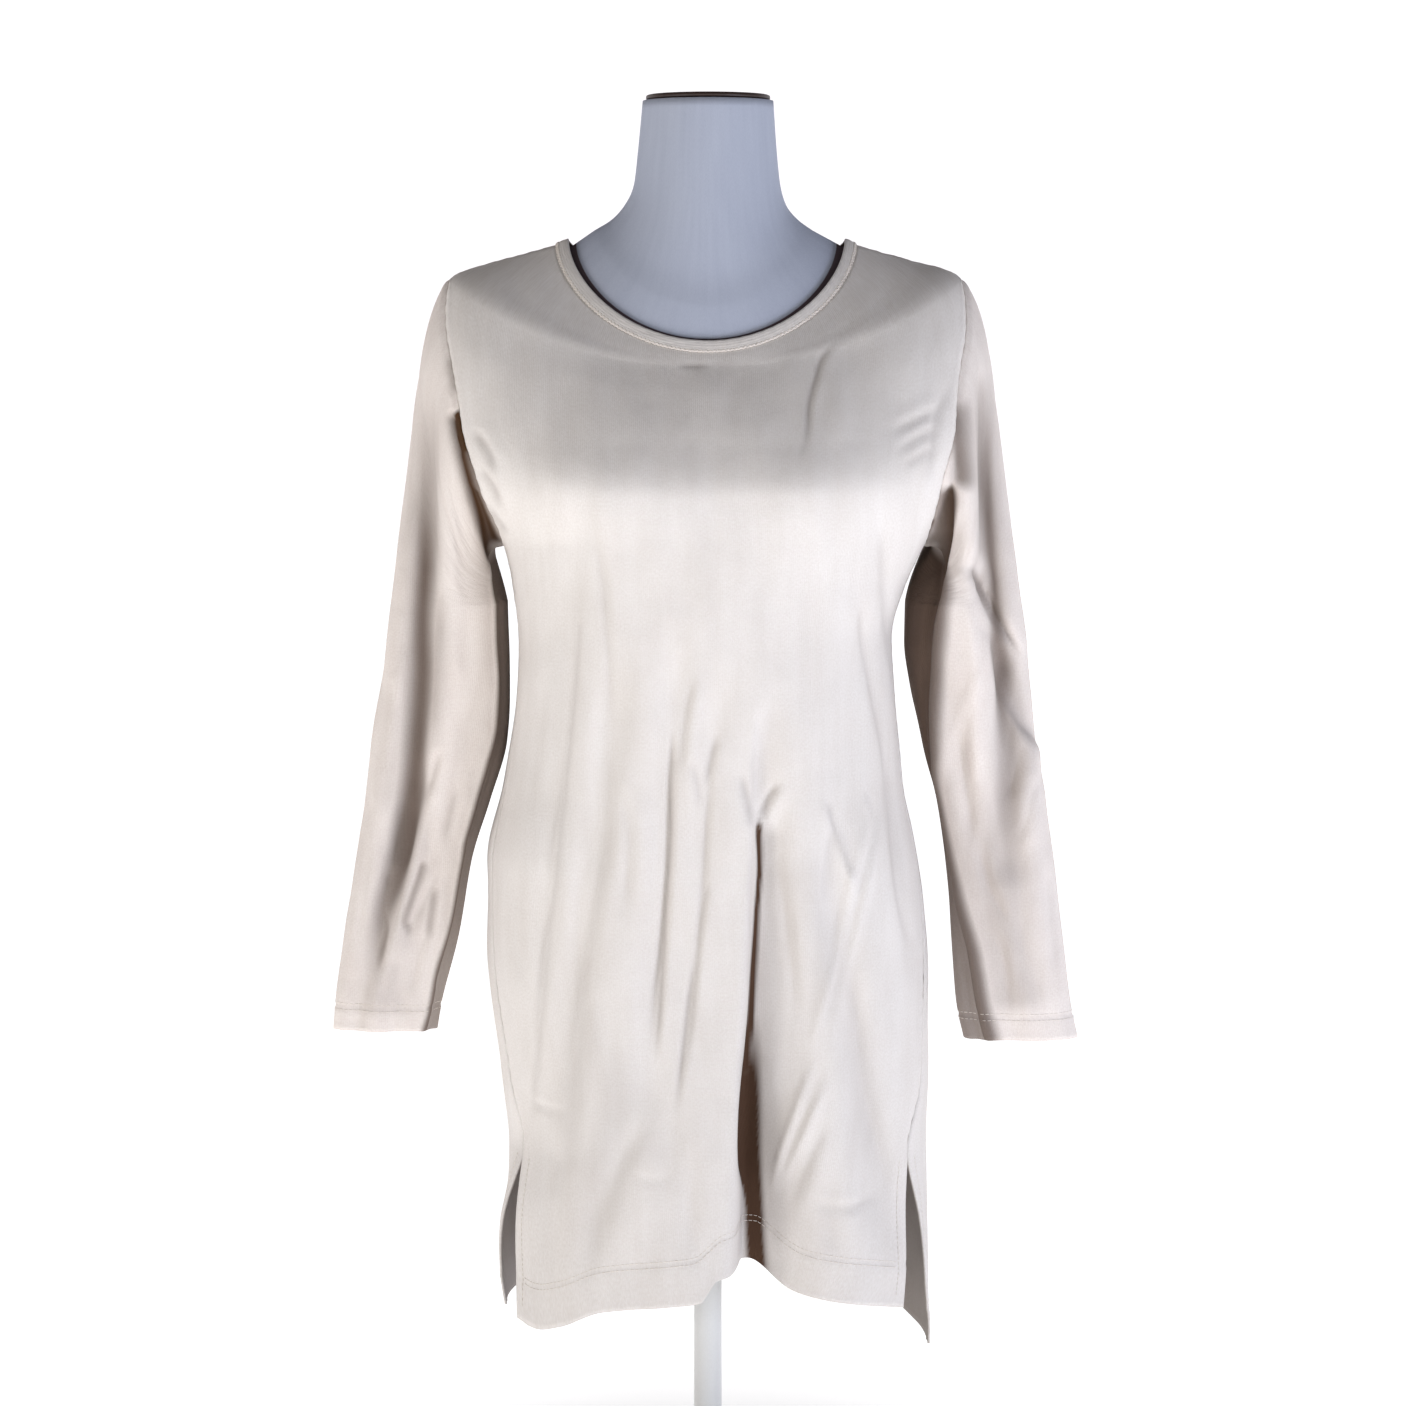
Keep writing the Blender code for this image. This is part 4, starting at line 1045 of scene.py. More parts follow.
@dataclass(frozen=True)
class PowderCoat:
    """White powder coat on steel: satin, with the fine skin of baked paint."""

    name: str = "steel_powder_coated_white"
    colour: str = "#F4F4F2"
    skin: float = 1.6

    def material(self) -> bpy.types.Material:
        """Build the material."""
        made = bpy.data.materials.new(self.name)
        made.use_nodes = True
        tree = made.node_tree
        shader = tree.nodes["Principled BSDF"]
        place = add_node(tree, "ShaderNodeTexCoord").outputs["Object"]
        skin = add_node(tree, "ShaderNodeTexNoise", {"Vector": place, "Scale": 1.0 / (self.skin * MM), "Detail": 2.0})
        tone = add_node(
            tree,
            "ShaderNodeMixRGB",
            {0: skin.outputs[0], 1: linear("#ECECEA"), 2: linear(self.colour)},
        )
        bump = add_node(tree, "ShaderNodeBump", {"Strength": 0.3, "Distance": 0.05 * MM, "Height": skin.outputs[0]})
        tree.links.new(tone.outputs[0], shader.inputs["Base Color"])
        tree.links.new(bump.outputs[0], shader.inputs["Normal"])
        shader.inputs["Roughness"].default_value = 0.4
        return made


def lifted(points: np.ndarray) -> np.ndarray:
    """Turn points of the tables to metres above the stand's underside."""
    return (points + (0.0, 0.0, LIFT)) * MM


def add_mesh(
    name: str,
    points: np.ndarray,
    faces: Sequence[Sequence[int]],
    material: bpy.types.Material,
    places: np.ndarray | None = None,
    painted_shade: np.ndarray | None = None,
) -> bpy.types.Object:
    """Make a smooth mesh object.

    Args:
        name: the piece's name.
        points: vertices in the garment's millimetres.
        faces: vertex numbers of each face.
        material: its material.
        places: place of each vertex on the cloth, in millimetres, for the UV map.
        painted_shade: how far painted shade darkens each vertex, from 0 to 1.

    Returns:
        The object, linked into the scene.
    """
    mesh = bpy.data.meshes.new(name)
    mesh.from_pydata(lifted(points).tolist(), [], faces)
    mesh.validate()
    if places is not None:
        layer = mesh.uv_layers.new(name="cloth_mm")
        corners = np.empty(len(mesh.loops), np.int64)
        mesh.loops.foreach_get("vertex_index", corners)
        layer.data.foreach_set("uv", places[corners].astype(np.float32).ravel())
    if painted_shade is not None:
        depth = mesh.attributes.new("painted_fold_shade", "FLOAT", "POINT")
        depth.data.foreach_set("value", np.clip(painted_shade, 0.0, 1.0).astype(np.float32))
    mesh.shade_smooth()
    mesh.materials.append(material)
    made = bpy.data.objects.new(name, mesh)
    bpy.context.scene.collection.objects.link(made)
    log.info("%s: %d faces", name, len(mesh.polygons))
    return made


def strip_faces(rows: int, columns: int, closed: bool, first: int = 0) -> np.ndarray:
    """Return the four corners of each face of a grid of vertices."""
    wide = columns if closed else columns - 1
    row, column = np.meshgrid(np.arange(rows - 1), np.arange(wide), indexing="ij")
    onward = (column + 1) % columns
    corners = (row * columns + column, row * columns + onward)
    corners += ((row + 1) * columns + onward, (row + 1) * columns + column)
    return np.stack(corners, axis=-1).reshape(-1, 4) + first


def row_lengths(points: np.ndarray) -> np.ndarray:
    """Return how far each point lies along its row, from the first."""
    steps = np.linalg.norm(np.diff(points, axis=1), axis=-1)
    return np.concatenate((np.zeros((len(points), 1)), np.cumsum(steps, axis=1)), axis=1)


def grid_normals(points: np.ndarray) -> np.ndarray:
    """Return the directions across rows and columns of a grid of points."""
    return unit(np.cross(np.gradient(points, axis=1), np.gradient(points, axis=0)))


class Sheet:
    """A piece of jersey as a grid of points, with its thickness and its seams."""

    # share of painted shade on the whole inner skin of the cloth
    INSIDE_PAINTED_SHADE = 0.62

    def __init__(self, points: np.ndarray, flip: bool = False):
        """Take a grid's points and work out its directions and its lengths."""
        self.points = points
        self.turned = -1.0 if flip else 1.0
        self.normals = grid_normals(points) * self.turned
        self.across = row_lengths(points)
        self.along = row_lengths(points.transpose(1, 0, 2)).T
        middle = points.shape[1] // 2
        self.wide = self.across - self.across[:, middle : middle + 1]
        self.tall = np.broadcast_to(self.along[:, middle : middle + 1], self.along.shape)
        self.painted_shade = np.zeros(points.shape[:2])

    def push(self, heights: np.ndarray) -> None:
        """Move the points outward and read their directions again."""
        self.points = self.points + self.normals * heights[..., None]
        edge = self.normals.copy()
        self.normals = grid_normals(self.points) * self.turned
        for band in (np.s_[0], np.s_[-1]):
            self.normals[band] = unit(self.normals[band] + edge[band])

    def spread_edges(self, lap: float) -> None:
        """Carry the side edges past the seam line, so that no light passes."""
        for edge, beside in ((0, 1), (-1, -2)):
            self.points[:, edge] += unit(self.points[:, edge] - self.points[:, beside]) * lap

    def build(self, name: str, material: bpy.types.Material, thickness: np.ndarray) -> bpy.types.Object:
        """Make the wall of cloth: the outer skin, the inner skin and their rims.

        Args:
            name: the piece's name.
            material: its material.
            thickness: the cloth's thickness at each point, which grows inward.

        Returns:
            The object.
        """
        rows, columns = self.points.shape[:2]
        outer = self.points + self.normals * (JERSEY / 2.0)
        inner = outer - self.normals * thickness[..., None]
        count = rows * columns
        faces = strip_faces(rows, columns, closed=False)
        inside = faces[:, ::-1] + count
        number = np.arange(count).reshape(rows, columns)
        ring = np.concatenate((number[0], number[1:, -1], number[-1, -2::-1], number[-2:0:-1, 0]))
        after = np.roll(ring, -1)
        rims = np.stack((after, ring, ring + count, after + count), axis=-1)
        every = np.concatenate((faces, inside, rims))
        if self.turned < 0.0:
            every = every[:, ::-1]
        places = np.stack((self.wide, self.tall), axis=-1).reshape(-1, 2)
        points = np.concatenate((outer.reshape(-1, 3), inner.reshape(-1, 3)))
        # the outer skin takes the folds' painted shade, and the inner skin a fixed share of painted shade
        painted_shade = np.concatenate((self.painted_shade.ravel(), np.full(count, self.INSIDE_PAINTED_SHADE)))
        return add_mesh(name, points, every.tolist(), material, np.concatenate((places, places)), painted_shade)

    def row_line(self, distance: float, from_end: bool = False) -> tuple[np.ndarray, np.ndarray]:
        """Return the line of points a distance up from the first row, or down from the last."""
        return self._line(self.along.T, distance, from_end, swap=True)

    def column_line(self, distance: float, from_end: bool = False) -> tuple[np.ndarray, np.ndarray]:
        """Return the line of points a distance in from the first or the last column."""
        return self._line(self.across, distance, from_end, swap=False)

    def _line(self, lengths: np.ndarray, distance: float, from_end: bool, swap: bool) -> tuple:
        """Read points and directions at one distance along every line of the grid."""
        points = self.points.transpose(1, 0, 2) if swap else self.points
        normals = self.normals.transpose(1, 0, 2) if swap else self.normals
        places, ups = [], []
        for length, line, normal in zip(lengths, points, normals):
            at = length[-1] - distance if from_end else distance
            places.append([np.interp(at, length, line[:, axis]) for axis in range(3)])
            ups.append([np.interp(at, length, normal[:, axis]) for axis in range(3)])
        return np.array(places), unit(np.array(ups))


@dataclass
class Needle:
    """Sews rows of thread, as short arched stitches, and joins them in one mesh."""

    thread: float = 0.55
    stitch: float = 3.0
    pitch: float = 3.9
    rise: float = 0.22

    def __post_init__(self) -> None:
        """Start with no stitches."""
        self.points: list[np.ndarray] = []
        self.faces: list[np.ndarray] = []
        self.count = 0

    def sew(self, starts: np.ndarray, ends: np.ndarray, ups: np.ndarray, plump: float = 1.0) -> None:
        """Add one stitch from each start to its end, standing on the cloth."""
        steps = np.array((0.0, 0.16, 0.5, 0.84, 1.0))
        widths = np.array((0.35, 0.9, 1.0, 0.9, 0.35)) * plump * self.thread / 2.0
        heights = np.array((-0.25, 0.5, 1.0, 0.5, -0.25)) * self.rise
        sides = 6
        turns = np.arange(sides) * 2.0 * math.pi / sides
        forward = unit(ends - starts)
        across = unit(np.cross(forward, ups))
        middle = starts[:, None] + (ends - starts)[:, None] * steps[:, None]
        middle = middle + ups[:, None] * (heights[:, None] + JERSEY / 2.0)
        round_it = across[:, None, None] * np.cos(turns)[:, None] + ups[:, None, None] * np.sin(turns)[:, None]
        rings = middle[:, :, None] + round_it * widths[:, None, None]
        stitches = len(starts)
        self.points.append(rings.reshape(-1, 3))
        one = strip_faces(len(steps), sides, closed=True).tolist()
        caps = [list(range(sides))[::-1], list(range((len(steps) - 1) * sides, len(steps) * sides))]
        size = len(steps) * sides
        for number in range(stitches):
            base = self.count + number * size
            self.faces += [[corner + base for corner in face] for face in one + caps]
        self.count += stitches * size

    def along(self, line: np.ndarray, ups: np.ndarray, closed: bool = False) -> None:
        """Sew one even row of stitches along a line of points."""
        if closed:
            line, ups = np.vstack((line, line[:1])), np.vstack((ups, ups[:1]))
        length = np.concatenate(((0.0,), np.cumsum(np.linalg.norm(np.diff(line, axis=0), axis=1))))
        count = max(1, int((length[-1] - self.stitch) / self.pitch))
        begin = (length[-1] - count * self.pitch) / 2.0 + np.arange(count) * self.pitch

        def read(values: np.ndarray, at: np.ndarray) -> np.ndarray:
            """Read a line's values at lengths along it."""
            return np.stack([np.interp(at, length, values[:, axis]) for axis in range(3)], axis=-1)

        middle = begin + self.stitch / 2.0
        self.sew(read(line, begin), read(line, begin + self.stitch), unit(read(ups, middle)))

    def zigzag(self, low: np.ndarray, high: np.ndarray, ups: np.ndarray) -> None:
        """Sew a zigzag between two closed lines of points."""
        line = np.where((np.arange(len(low)) % 2 == 0)[:, None], low, high)
        self.sew(line, np.roll(line, -1, axis=0), ups, 1.7)

    def build(self, name: str, material: bpy.types.Material) -> bpy.types.Object:
        """Make the mesh of all the stitches."""
        return add_mesh(name, np.concatenate(self.points), self.faces, material)


@dataclass
class Panel:
    """The front or the back of the tunic, one piece of jersey from neckline to hem."""

    face: Face
    rows: int
    columns: int
    creases: tuple[Crease, ...]
    flat: tuple[float, float]
    cut_area: float
    phase: float

    @property
    def name(self) -> str:
        """Return the name of the CAD node that this piece replaces."""
        return f"{self.face.value}_panel"

    def turns(self, heights: np.ndarray, part: np.ndarray) -> np.ndarray:
        """Return the turns at parts of the way across each row, left edge of the face first."""
        first, last = (Side.LEFT, Side.RIGHT) if self.face is Face.FRONT else (Side.RIGHT, Side.LEFT)
        start = first.value * edge_turn(heights, self.face, first)
        end = last.value * edge_turn(heights, self.face, last)
        if self.face is Face.BACK:
            end = end + 2.0 * math.pi
        return start[:, None] + (end - start)[:, None] * part

    def heights(self) -> np.ndarray:
        """Space the rows evenly over the cloth, by the widest step between them."""
        trial = np.linspace(0.0, PANEL_TOP + 0.12, 900)
        points = cloth(trial[:, None], self.turns(trial, np.linspace(0.0, 1.0, 25)[None]))
        steps = np.linalg.norm(np.diff(points, axis=0), axis=-1)
        length = np.concatenate(((0.0,), np.cumsum(0.5 * steps.max(1) + 0.5 * steps.mean(1))))
        return np.interp(np.linspace(0.0, length[-1], self.rows), length, trial)

    def base_sheet(self) -> Sheet:
        """Lay out the panel's grid, with its points evenly spaced along each row."""
        heights = self.heights()
        trial = np.linspace(0.0, 1.0, 601)
        lengths = row_lengths(cloth(heights[:, None], self.turns(heights, trial[None])))
        even = np.linspace(0.0, 1.0, self.columns)
        part = np.stack([np.interp(even * row[-1], row, trial) for row in lengths])
        turns = self.turns(heights, part)
        points = cloth(heights[:, None], turns)
        self.levels = heights
        self.level_turns = turns
        return Sheet(points)

    def flare_vents(self, sheet: Sheet) -> None:
        """Swing the vent edges outward, fading into the panel."""
        opened = np.where(self.levels < VENT_TOP, np.sin(math.pi * self.levels / VENT_TOP), 0.0)
        ends = (Side.LEFT, Side.RIGHT) if self.face is Face.FRONT else (Side.RIGHT, Side.LEFT)
        total = sheet.across[:, -1:]
        for side, away in zip(ends, (sheet.across, total - sheet.across)):
            flare = VENTS[self.face, side].flare * side.value
            sheet.points[..., 0] += flare * opened[:, None] * bump_at(away, 22.0)

    def relief(self, sheet: Sheet) -> np.ndarray:
        """Work out the creases, seams and hem of the panel, as heights outward."""
        x, z = sheet.points[..., 0], sheet.points[..., 2]
        facing = np.abs(np.cos(self.level_turns))
        same_face = (np.cos(self.level_turns) > 0.0) == (self.face is Face.FRONT)
        depth, painted_shade = crease_relief(self.creases, x, z)
        shown = smoothstep(facing / SIDE_FADE) * same_face
        edge = np.minimum(sheet.across, sheet.across[:, -1:] - sheet.across)
        sewn = smoothstep((self.levels[:, None] - VENT_TOP) / 0.15)
        heights = -depth * shown * (1.0 - sewn * (1.0 - smoothstep(edge / SEAM_CALM)))
        top = sheet.along[-1:] - sheet.along
        calm = smoothstep(top / 40.0)
        heights += ripple(x, z, self.phase) * calm
        # the creases' painted shade, shown only on the panel's own face
        sheet.painted_shade = painted_shade * shown
        pucker = np.sin(sheet.along / 2.1 + 1.7 * np.sin(sheet.along / 31.0 + self.phase))
        heights += sewn * bump_at(edge, 8.0) * 0.22 * pucker
        heights -= sewn * 0.5 * bump_at(edge, 2.6)
        heights += sewn * 0.35 * bump_at(edge - 6.0, 3.0)
        # the turned hem is a second layer, drawn in along its stitches
        hem = sheet.along
        heights += 0.35 * smoothstep((HEM_DEPTH - hem) / 3.0)
        heights -= 0.3 * bump_at(hem - HEM_DEPTH, 1.8)
        wave = np.sin(sheet.across / 3.1 + 1.3 * np.sin(sheet.across / 23.0 + self.phase))
        heights += 0.16 * wave * bump_at(hem - HEM_DEPTH, 8.0)
        heights += 0.25 * np.sin(sheet.across / 9.0 + self.phase) * smoothstep((HEM_DEPTH - hem) / 20.0)
        # the vents are faced and topstitched
        faced = 1.0 - sewn
        heights += faced * 0.3 * smoothstep((VENT_FACING - edge) / 2.0)
        heights -= faced * 0.5 * bump_at(edge - VENT_FACING, 1.8)
        # the last rows slip under the neck binding
        heights -= 0.5 * bump_at(top, 3.0)
        return heights

    def build(self, jersey: bpy.types.Material, needle: Needle) -> bpy.types.Object:
        """Make the panel and sew its hem and vents.

        Args:
            jersey: the cloth's material.
            needle: what sews the stitches.

        Returns:
            The panel.
        """
        sheet = self.base_sheet()
        self.flare_vents(sheet)
        sheet = Sheet(sheet.points)
        sheet.push(self.relief(sheet))
        sheet.spread_edges(SEAM_LAP)
        edge = np.minimum(sheet.across, sheet.across[:, -1:] - sheet.across)
        doubled = smoothstep((HEM_DEPTH - sheet.along) / 1.5)
        vent = (self.levels[:, None] < VENT_TOP) * smoothstep((VENT_FACING - edge) / 1.5)
        thickness = JERSEY + 0.8 * np.maximum(doubled, vent)
        made = sheet.build(f"{self.name}_jersey", jersey, thickness)
        self.sew(sheet, needle)
        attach(made, BODY)
        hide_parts(self.name)
        return made

    def sew(self, sheet: Sheet, needle: Needle) -> None:
        """Sew the twin row of the hem and the topstitching of the vents."""
        for offset in (-2.2, 2.2):
            line, ups = sheet.row_line(HEM_DEPTH + offset)
            inside = (sheet.across[8] > VENT_FACING) & (sheet.across[8] < sheet.across[8, -1] - VENT_FACING)
            needle.along(line[inside], ups[inside])
        vent_rows = int((self.levels < VENT_TOP).sum())
        for from_end in (False, True):
            line, ups = sheet.column_line(VENT_FACING, from_end)
            needle.along(line[2:vent_rows], ups[2:vent_rows])


@dataclass
class Sleeve:
    """A set-in sleeve, one piece of jersey joined along an underarm seam."""

    side: Side
    rings: tuple[SleeveRing, ...]
    folds: tuple[SleeveFold, ...]
    creases: dict
    underarm: tuple[SeamTurn, ...]
    flat: tuple[float, float]
    cut_area: float
    phase: float
    seam_shade: float
    rear_shade: float
    cap_rows: int = 64
    tube_rows: int = 108
    columns: int = 208

    @property
    def name(self) -> str:
        """Return the name of the CAD node that this piece replaces."""
        return f"sleeve_{self.side.name.lower()}"

    def armhole(self, part: np.ndarray) -> tuple[np.ndarray, np.ndarray]:
        """Return the armhole's edge, from its tip down the front and up the back."""
        part = part % 1.0
        front = part <= 0.5
        row = np.where(front, 1.0 - 2.0 * part, 2.0 * part - 1.0)
        height = ARMPIT + (SHOULDER_TIP - ARMPIT) * (0.5 - 0.5 * np.cos(math.pi * row))
        ahead = edge_turn(height, Face.FRONT, self.side)
        behind = edge_turn(height, Face.BACK, self.side)
        turn = self.side.value * np.where(front, ahead, behind)
        return cloth(height, turn), outward(cloth, height, turn)

    def ring_point(self, z: np.ndarray, turn: np.ndarray) -> np.ndarray:
        """Return points of the hanging part of the sleeve."""
        outer, inner, middle, depth = (
            read_table(self.rings, "z", column, z)
            for column in ("outer_x", "inner_x", "middle_y", "half_depth")
        )
        power = 2.0 / SLEEVE_SQUARENESS
        x = (outer + inner) / 2.0 + (outer - inner) / 2.0 * signed_power(np.cos(turn), power)
        y = middle - depth * signed_power(np.sin(turn), power)
        return np.stack(np.broadcast_arrays(x, y, z), axis=-1)

    def swung(self, part: np.ndarray, z: np.ndarray) -> np.ndarray:
        """Return the turns of points at parts of the way round, which follow the seam inside."""
        turn = 2.0 * math.pi * part
        inside = ((1.0 - np.cos(turn)) / 2.0) ** 1.5
        return turn + np.radians(read_table(self.underarm, "z", "turn", z) - 180.0) * inside

    def fold_depth(self, turn: np.ndarray, z: np.ndarray) -> np.ndarray:
        """Add up how far the sleeve's main folds draw its points inward."""
        depth = np.zeros(np.broadcast(turn, z).shape)
        for fold in self.folds:
            along = (fold.top_z - z) / (fold.top_z - fold.foot_z)
            fade = smoothstep(1.0 + along * 5.0) * smoothstep(1.0 + (1.0 - along) * 5.0)
            middle = fold.top_turn + along * (fold.foot_turn - fold.top_turn)
            away = (np.degrees(turn) - middle + 180.0) % 360.0 - 180.0
            depth += fade * fold.depth * bump_at(away, fold.width)
        return depth

    def drawn_in(self, points: np.ndarray, axis_z: np.ndarray, depth: np.ndarray) -> np.ndarray:
        """Move points level towards the sleeve's upright middle line."""
        outer = self.ring_point(axis_z, np.zeros_like(axis_z))
        inner = self.ring_point(axis_z, np.full_like(axis_z, math.pi))
        inward = (outer + inner) / 2.0 - points
        inward[..., 2] = 0.0
        return points + unit(inward) * depth[..., None]

    def cap(self, part: np.ndarray) -> tuple[np.ndarray, np.ndarray]:
        """Loft the cap from the armhole to the hanging part; also return the turn of each point."""
        turn = 2.0 * math.pi * part
        seam, normal = self.armhole(part)
        step = 1.0 / 64.0
        along_edge = self.armhole(part + step)[0] - self.armhole(part - step)[0]
        onward = unit(np.cross(along_edge, normal) * -self.side.value)
        hang = unit(np.stack((np.full_like(turn, self.side.value), -0.25 * np.sin(turn), np.full_like(turn, -0.45)), -1))
        leave = unit(onward + hang)
        outerness = (1.0 + np.cos(turn)) / 2.0
        reach = 10.0 + 14.0 * outerness + 14.0 * np.abs(np.sin(turn))
        drop = 26.0 + 124.0 * outerness**1.3
        top_z = np.full_like(turn, self.rings[0].z)
        end_turn = self.swung(part, top_z)
        end = self.ring_point(top_z, end_turn)
        above = end + unit(end - self.ring_point(top_z - 20.0, end_turn)) * drop[:, None]
        above[:, 0] += self.side.value * UNDERARM_ROOM * (1.0 - outerness) ** 2
        at = (np.arange(self.cap_rows) / self.cap_rows)[:, None, None]
        rest = 1.0 - at
        points = rest**3 * seam + 3.0 * at * rest**2 * (seam + leave * reach[:, None])
        points = points + 3.0 * at**2 * rest * above + at**3 * end
        turns = turn + (end_turn - turn) * smoothstep(at[..., 0])
        depth = self.fold_depth(turns, points[..., 2]) * smoothstep(at[..., 0] * 1.6)
        return self.drawn_in(points, np.full(points.shape[:2], float(self.rings[0].z)), depth), turns

    def tube(self, part: np.ndarray) -> tuple[np.ndarray, np.ndarray]:
        """Loft the hanging part down to the cuff; also return the turn of each point."""
        z = np.linspace(self.rings[0].z, self.rings[-1].z, self.tube_rows + 1)[:, None]
        turn = self.swung(part[None], z)
        z = np.broadcast_to(z, turn.shape)
        points = self.ring_point(z, turn)
        return self.drawn_in(points, z, self.fold_depth(turn, z)), turn

    def relief(self, sheet: Sheet, turn: np.ndarray) -> np.ndarray:
        """Work out the creases, seams and cuff of the sleeve, as heights outward."""
        x, z = sheet.points[..., 0], sheet.points[..., 2]
        facing = smoothstep(np.abs(np.sin(turn)) / 0.35)
        ahead = np.sin(turn) > 0.0
        front, front_painted_shade = crease_relief(self.creases[Face.FRONT], x, z)
        back, back_painted_shade = crease_relief(self.creases[Face.BACK], x, z)
        top = sheet.along
        heights = -np.where(ahead, front, back) * facing * smoothstep(top / SEAM_CALM)
        calm = smoothstep(top / 12.0) * (1.0 - 0.9 * bump_at(top, 110.0) * (1.0 - np.cos(turn)) / 2.0)
        heights += 0.9 * ripple(sheet.across, sheet.along, self.phase) * calm
        # the armhole seam
        pucker = np.sin(sheet.across / 1.9 + 1.5 * np.sin(sheet.across / 27.0))
        heights += 0.2 * pucker * bump_at(top, 8.0)
        heights -= 0.5 * bump_at(top, 2.6)
        heights += 0.4 * bump_at(top - 6.0, 3.5)
        # the underarm seam: the front lies over it as a sharp edge
        rear, fore = sheet.across, sheet.across[:, -1:] - sheet.across
        heights -= 0.6 * (bump_at(rear, 2.2) + bump_at(fore, 1.6))
        heights += 1.2 * bump_at(fore - 4.0, 2.6)
        heights -= 2.4 * bump_at(rear - 6.0, 4.5)
        # painted shade: the rear strip behind the underarm seam is painted dark, less so towards the cuff, and a narrow
        # painted dark strip runs on the front beside the seam
        underarm_painted_shade = self.rear_shade * (0.7 + 0.3 * smoothstep((z - 290.0) / 220.0)) * smoothstep((64.0 - rear) / 28.0)
        underarm_painted_shade += 0.82 * smoothstep((self.seam_shade - fore) / (0.75 * self.seam_shade))
        # the creases' painted shade, on the face that each point lies on
        painted_shade = np.where(ahead, front_painted_shade, back_painted_shade) * facing
        sheet.painted_shade = np.maximum(painted_shade, underarm_painted_shade * smoothstep(top / 30.0))
        # the cuff is turned up and sewn with two rows
        cuff = sheet.along[-1:] - sheet.along
        heights += 0.3 * smoothstep((CUFF_DEPTH - cuff) / 3.0)
        heights -= 0.5 * bump_at(cuff - CUFF_DEPTH, 1.8)
        wave = np.sin(sheet.across / 2.7 + 1.2 * np.sin(sheet.across / 19.0))
        heights += 0.25 * wave * bump_at(cuff - CUFF_DEPTH, 8.0)
        return heights

    def build(self, jersey: bpy.types.Material, needle: Needle) -> bpy.types.Object:
        """Make the sleeve and sew its cuff.

        Args:
            jersey: the cloth's material.
            needle: what sews the stitches.

        Returns:
            The sleeve.
        """
        part = 0.5 + np.linspace(0.0, 1.0, self.columns)
        cap, cap_turn = self.cap(part)
        tube, tube_turn = self.tube(part)
        points = np.concatenate((cap, tube))
        turn = np.concatenate((cap_turn, tube_turn))
        flip = self.side is Side.LEFT
        sheet = Sheet(points, flip)
        sheet.push(self.relief(sheet, turn))
        sheet.spread_edges(SEAM_LAP)
        cuff = sheet.along[-1:] - sheet.along
        thickness = JERSEY + 0.7 * smoothstep((CUFF_DEPTH - cuff) / 1.5)
        made = sheet.build(f"{self.name}_jersey", jersey, thickness)
        for offset in (-2.6, 2.6):
            needle.along(*sheet.row_line(CUFF_DEPTH + offset, from_end=True))
        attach(made, BODY)
        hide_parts(self.name)
        return made


@dataclass
class NeckBinding:
    """A folded strip of jersey round the neckline, sewn down with a fine zigzag."""

    columns: int = 430
    section: int = 16
    squash: float = 0.5
    zigzags: int = 214
    flat: tuple[float, float] = (0.60, 0.012)

    def height(self, part: np.ndarray) -> np.ndarray:
        """Return the level at parts of the way across the strip, from -1 to 1."""
        return (PANEL_TOP + NECK_EDGE) / 2.0 + 0.03 + part * 0.5

    def build(self, jersey: bpy.types.Material, needle: Needle) -> bpy.types.Object:
        """Make the binding and sew it down.

        Args:
            jersey: the cloth's material.
            needle: what sews the stitches.

        Returns:
            The binding.
        """
        turns = np.linspace(0.0, 2.0 * math.pi, self.columns + 1)
        angles = np.arange(self.section) * 2.0 * math.pi / self.section
        wide = signed_power(np.cos(angles), 0.8)
        thick = signed_power(np.sin(angles), self.squash)
        heights = self.height(wide)[:, None]
        base = body(heights, turns[None])
        normals = outward(body, heights, turns[None])
        length = row_lengths(base)
        pull = 0.14 * np.sin(length / 1.5 + 2.0 * wide[:, None]) * (thick[:, None] > 0.0)
        rise = thick[:, None] * BINDING_THICKNESS / 2.0 + pull + 0.25 * (1.0 - wide[:, None] ** 2)
        points = base + normals * rise[..., None]
        rows = np.concatenate((points, points[:1]))
        across = np.arange(self.section + 1)[:, None] * 26.0 / self.section + 0.0 * rows[..., 0]
        places = np.stack((across, np.concatenate((length, length[:1]))), axis=-1)
        faces = strip_faces(self.section + 1, self.columns + 1, closed=False)
        # the inner half of the strip is painted fully dark, as the shadow in the gap between the binding and the form
        inside = np.concatenate((thick, thick[:1])) < -0.1
        painted_shade = np.broadcast_to(np.where(inside, 1.0, 0.0)[:, None], rows.shape[:2]).ravel()
        made = add_mesh(
            "neck_binding_jersey", rows.reshape(-1, 3), faces.tolist(), jersey, places.reshape(-1, 2), painted_shade
        )
        self.weld(made)
        self.sew(needle)
        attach(made, BODY)
        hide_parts("neck_binding")
        return made

    def weld(self, made: bpy.types.Object) -> None:
        """Join the strip's ends and edges, which lie on each other."""
        bm = bmesh.new()
        bm.from_mesh(made.data)
        bmesh.ops.remove_doubles(bm, verts=bm.verts, dist=0.02 * MM)
        bmesh.ops.recalc_face_normals(bm, faces=bm.faces)
        bm.to_mesh(made.data)
        bm.free()

    def sew(self, needle: Needle) -> None:
        """Sew the zigzag over the lower edge of the strip."""
        turns = np.linspace(0.0, 2.0 * math.pi, 2 * self.zigzags, endpoint=False)
        ups = outward(body, np.full_like(turns, PANEL_TOP + 0.05), turns)
        low = body(np.full_like(turns, PANEL_TOP - 0.02), turns) - ups * 0.15
        high = body(np.full_like(turns, PANEL_TOP + 0.22), turns) + ups * 0.7
        needle.zigzag(low, high, ups)


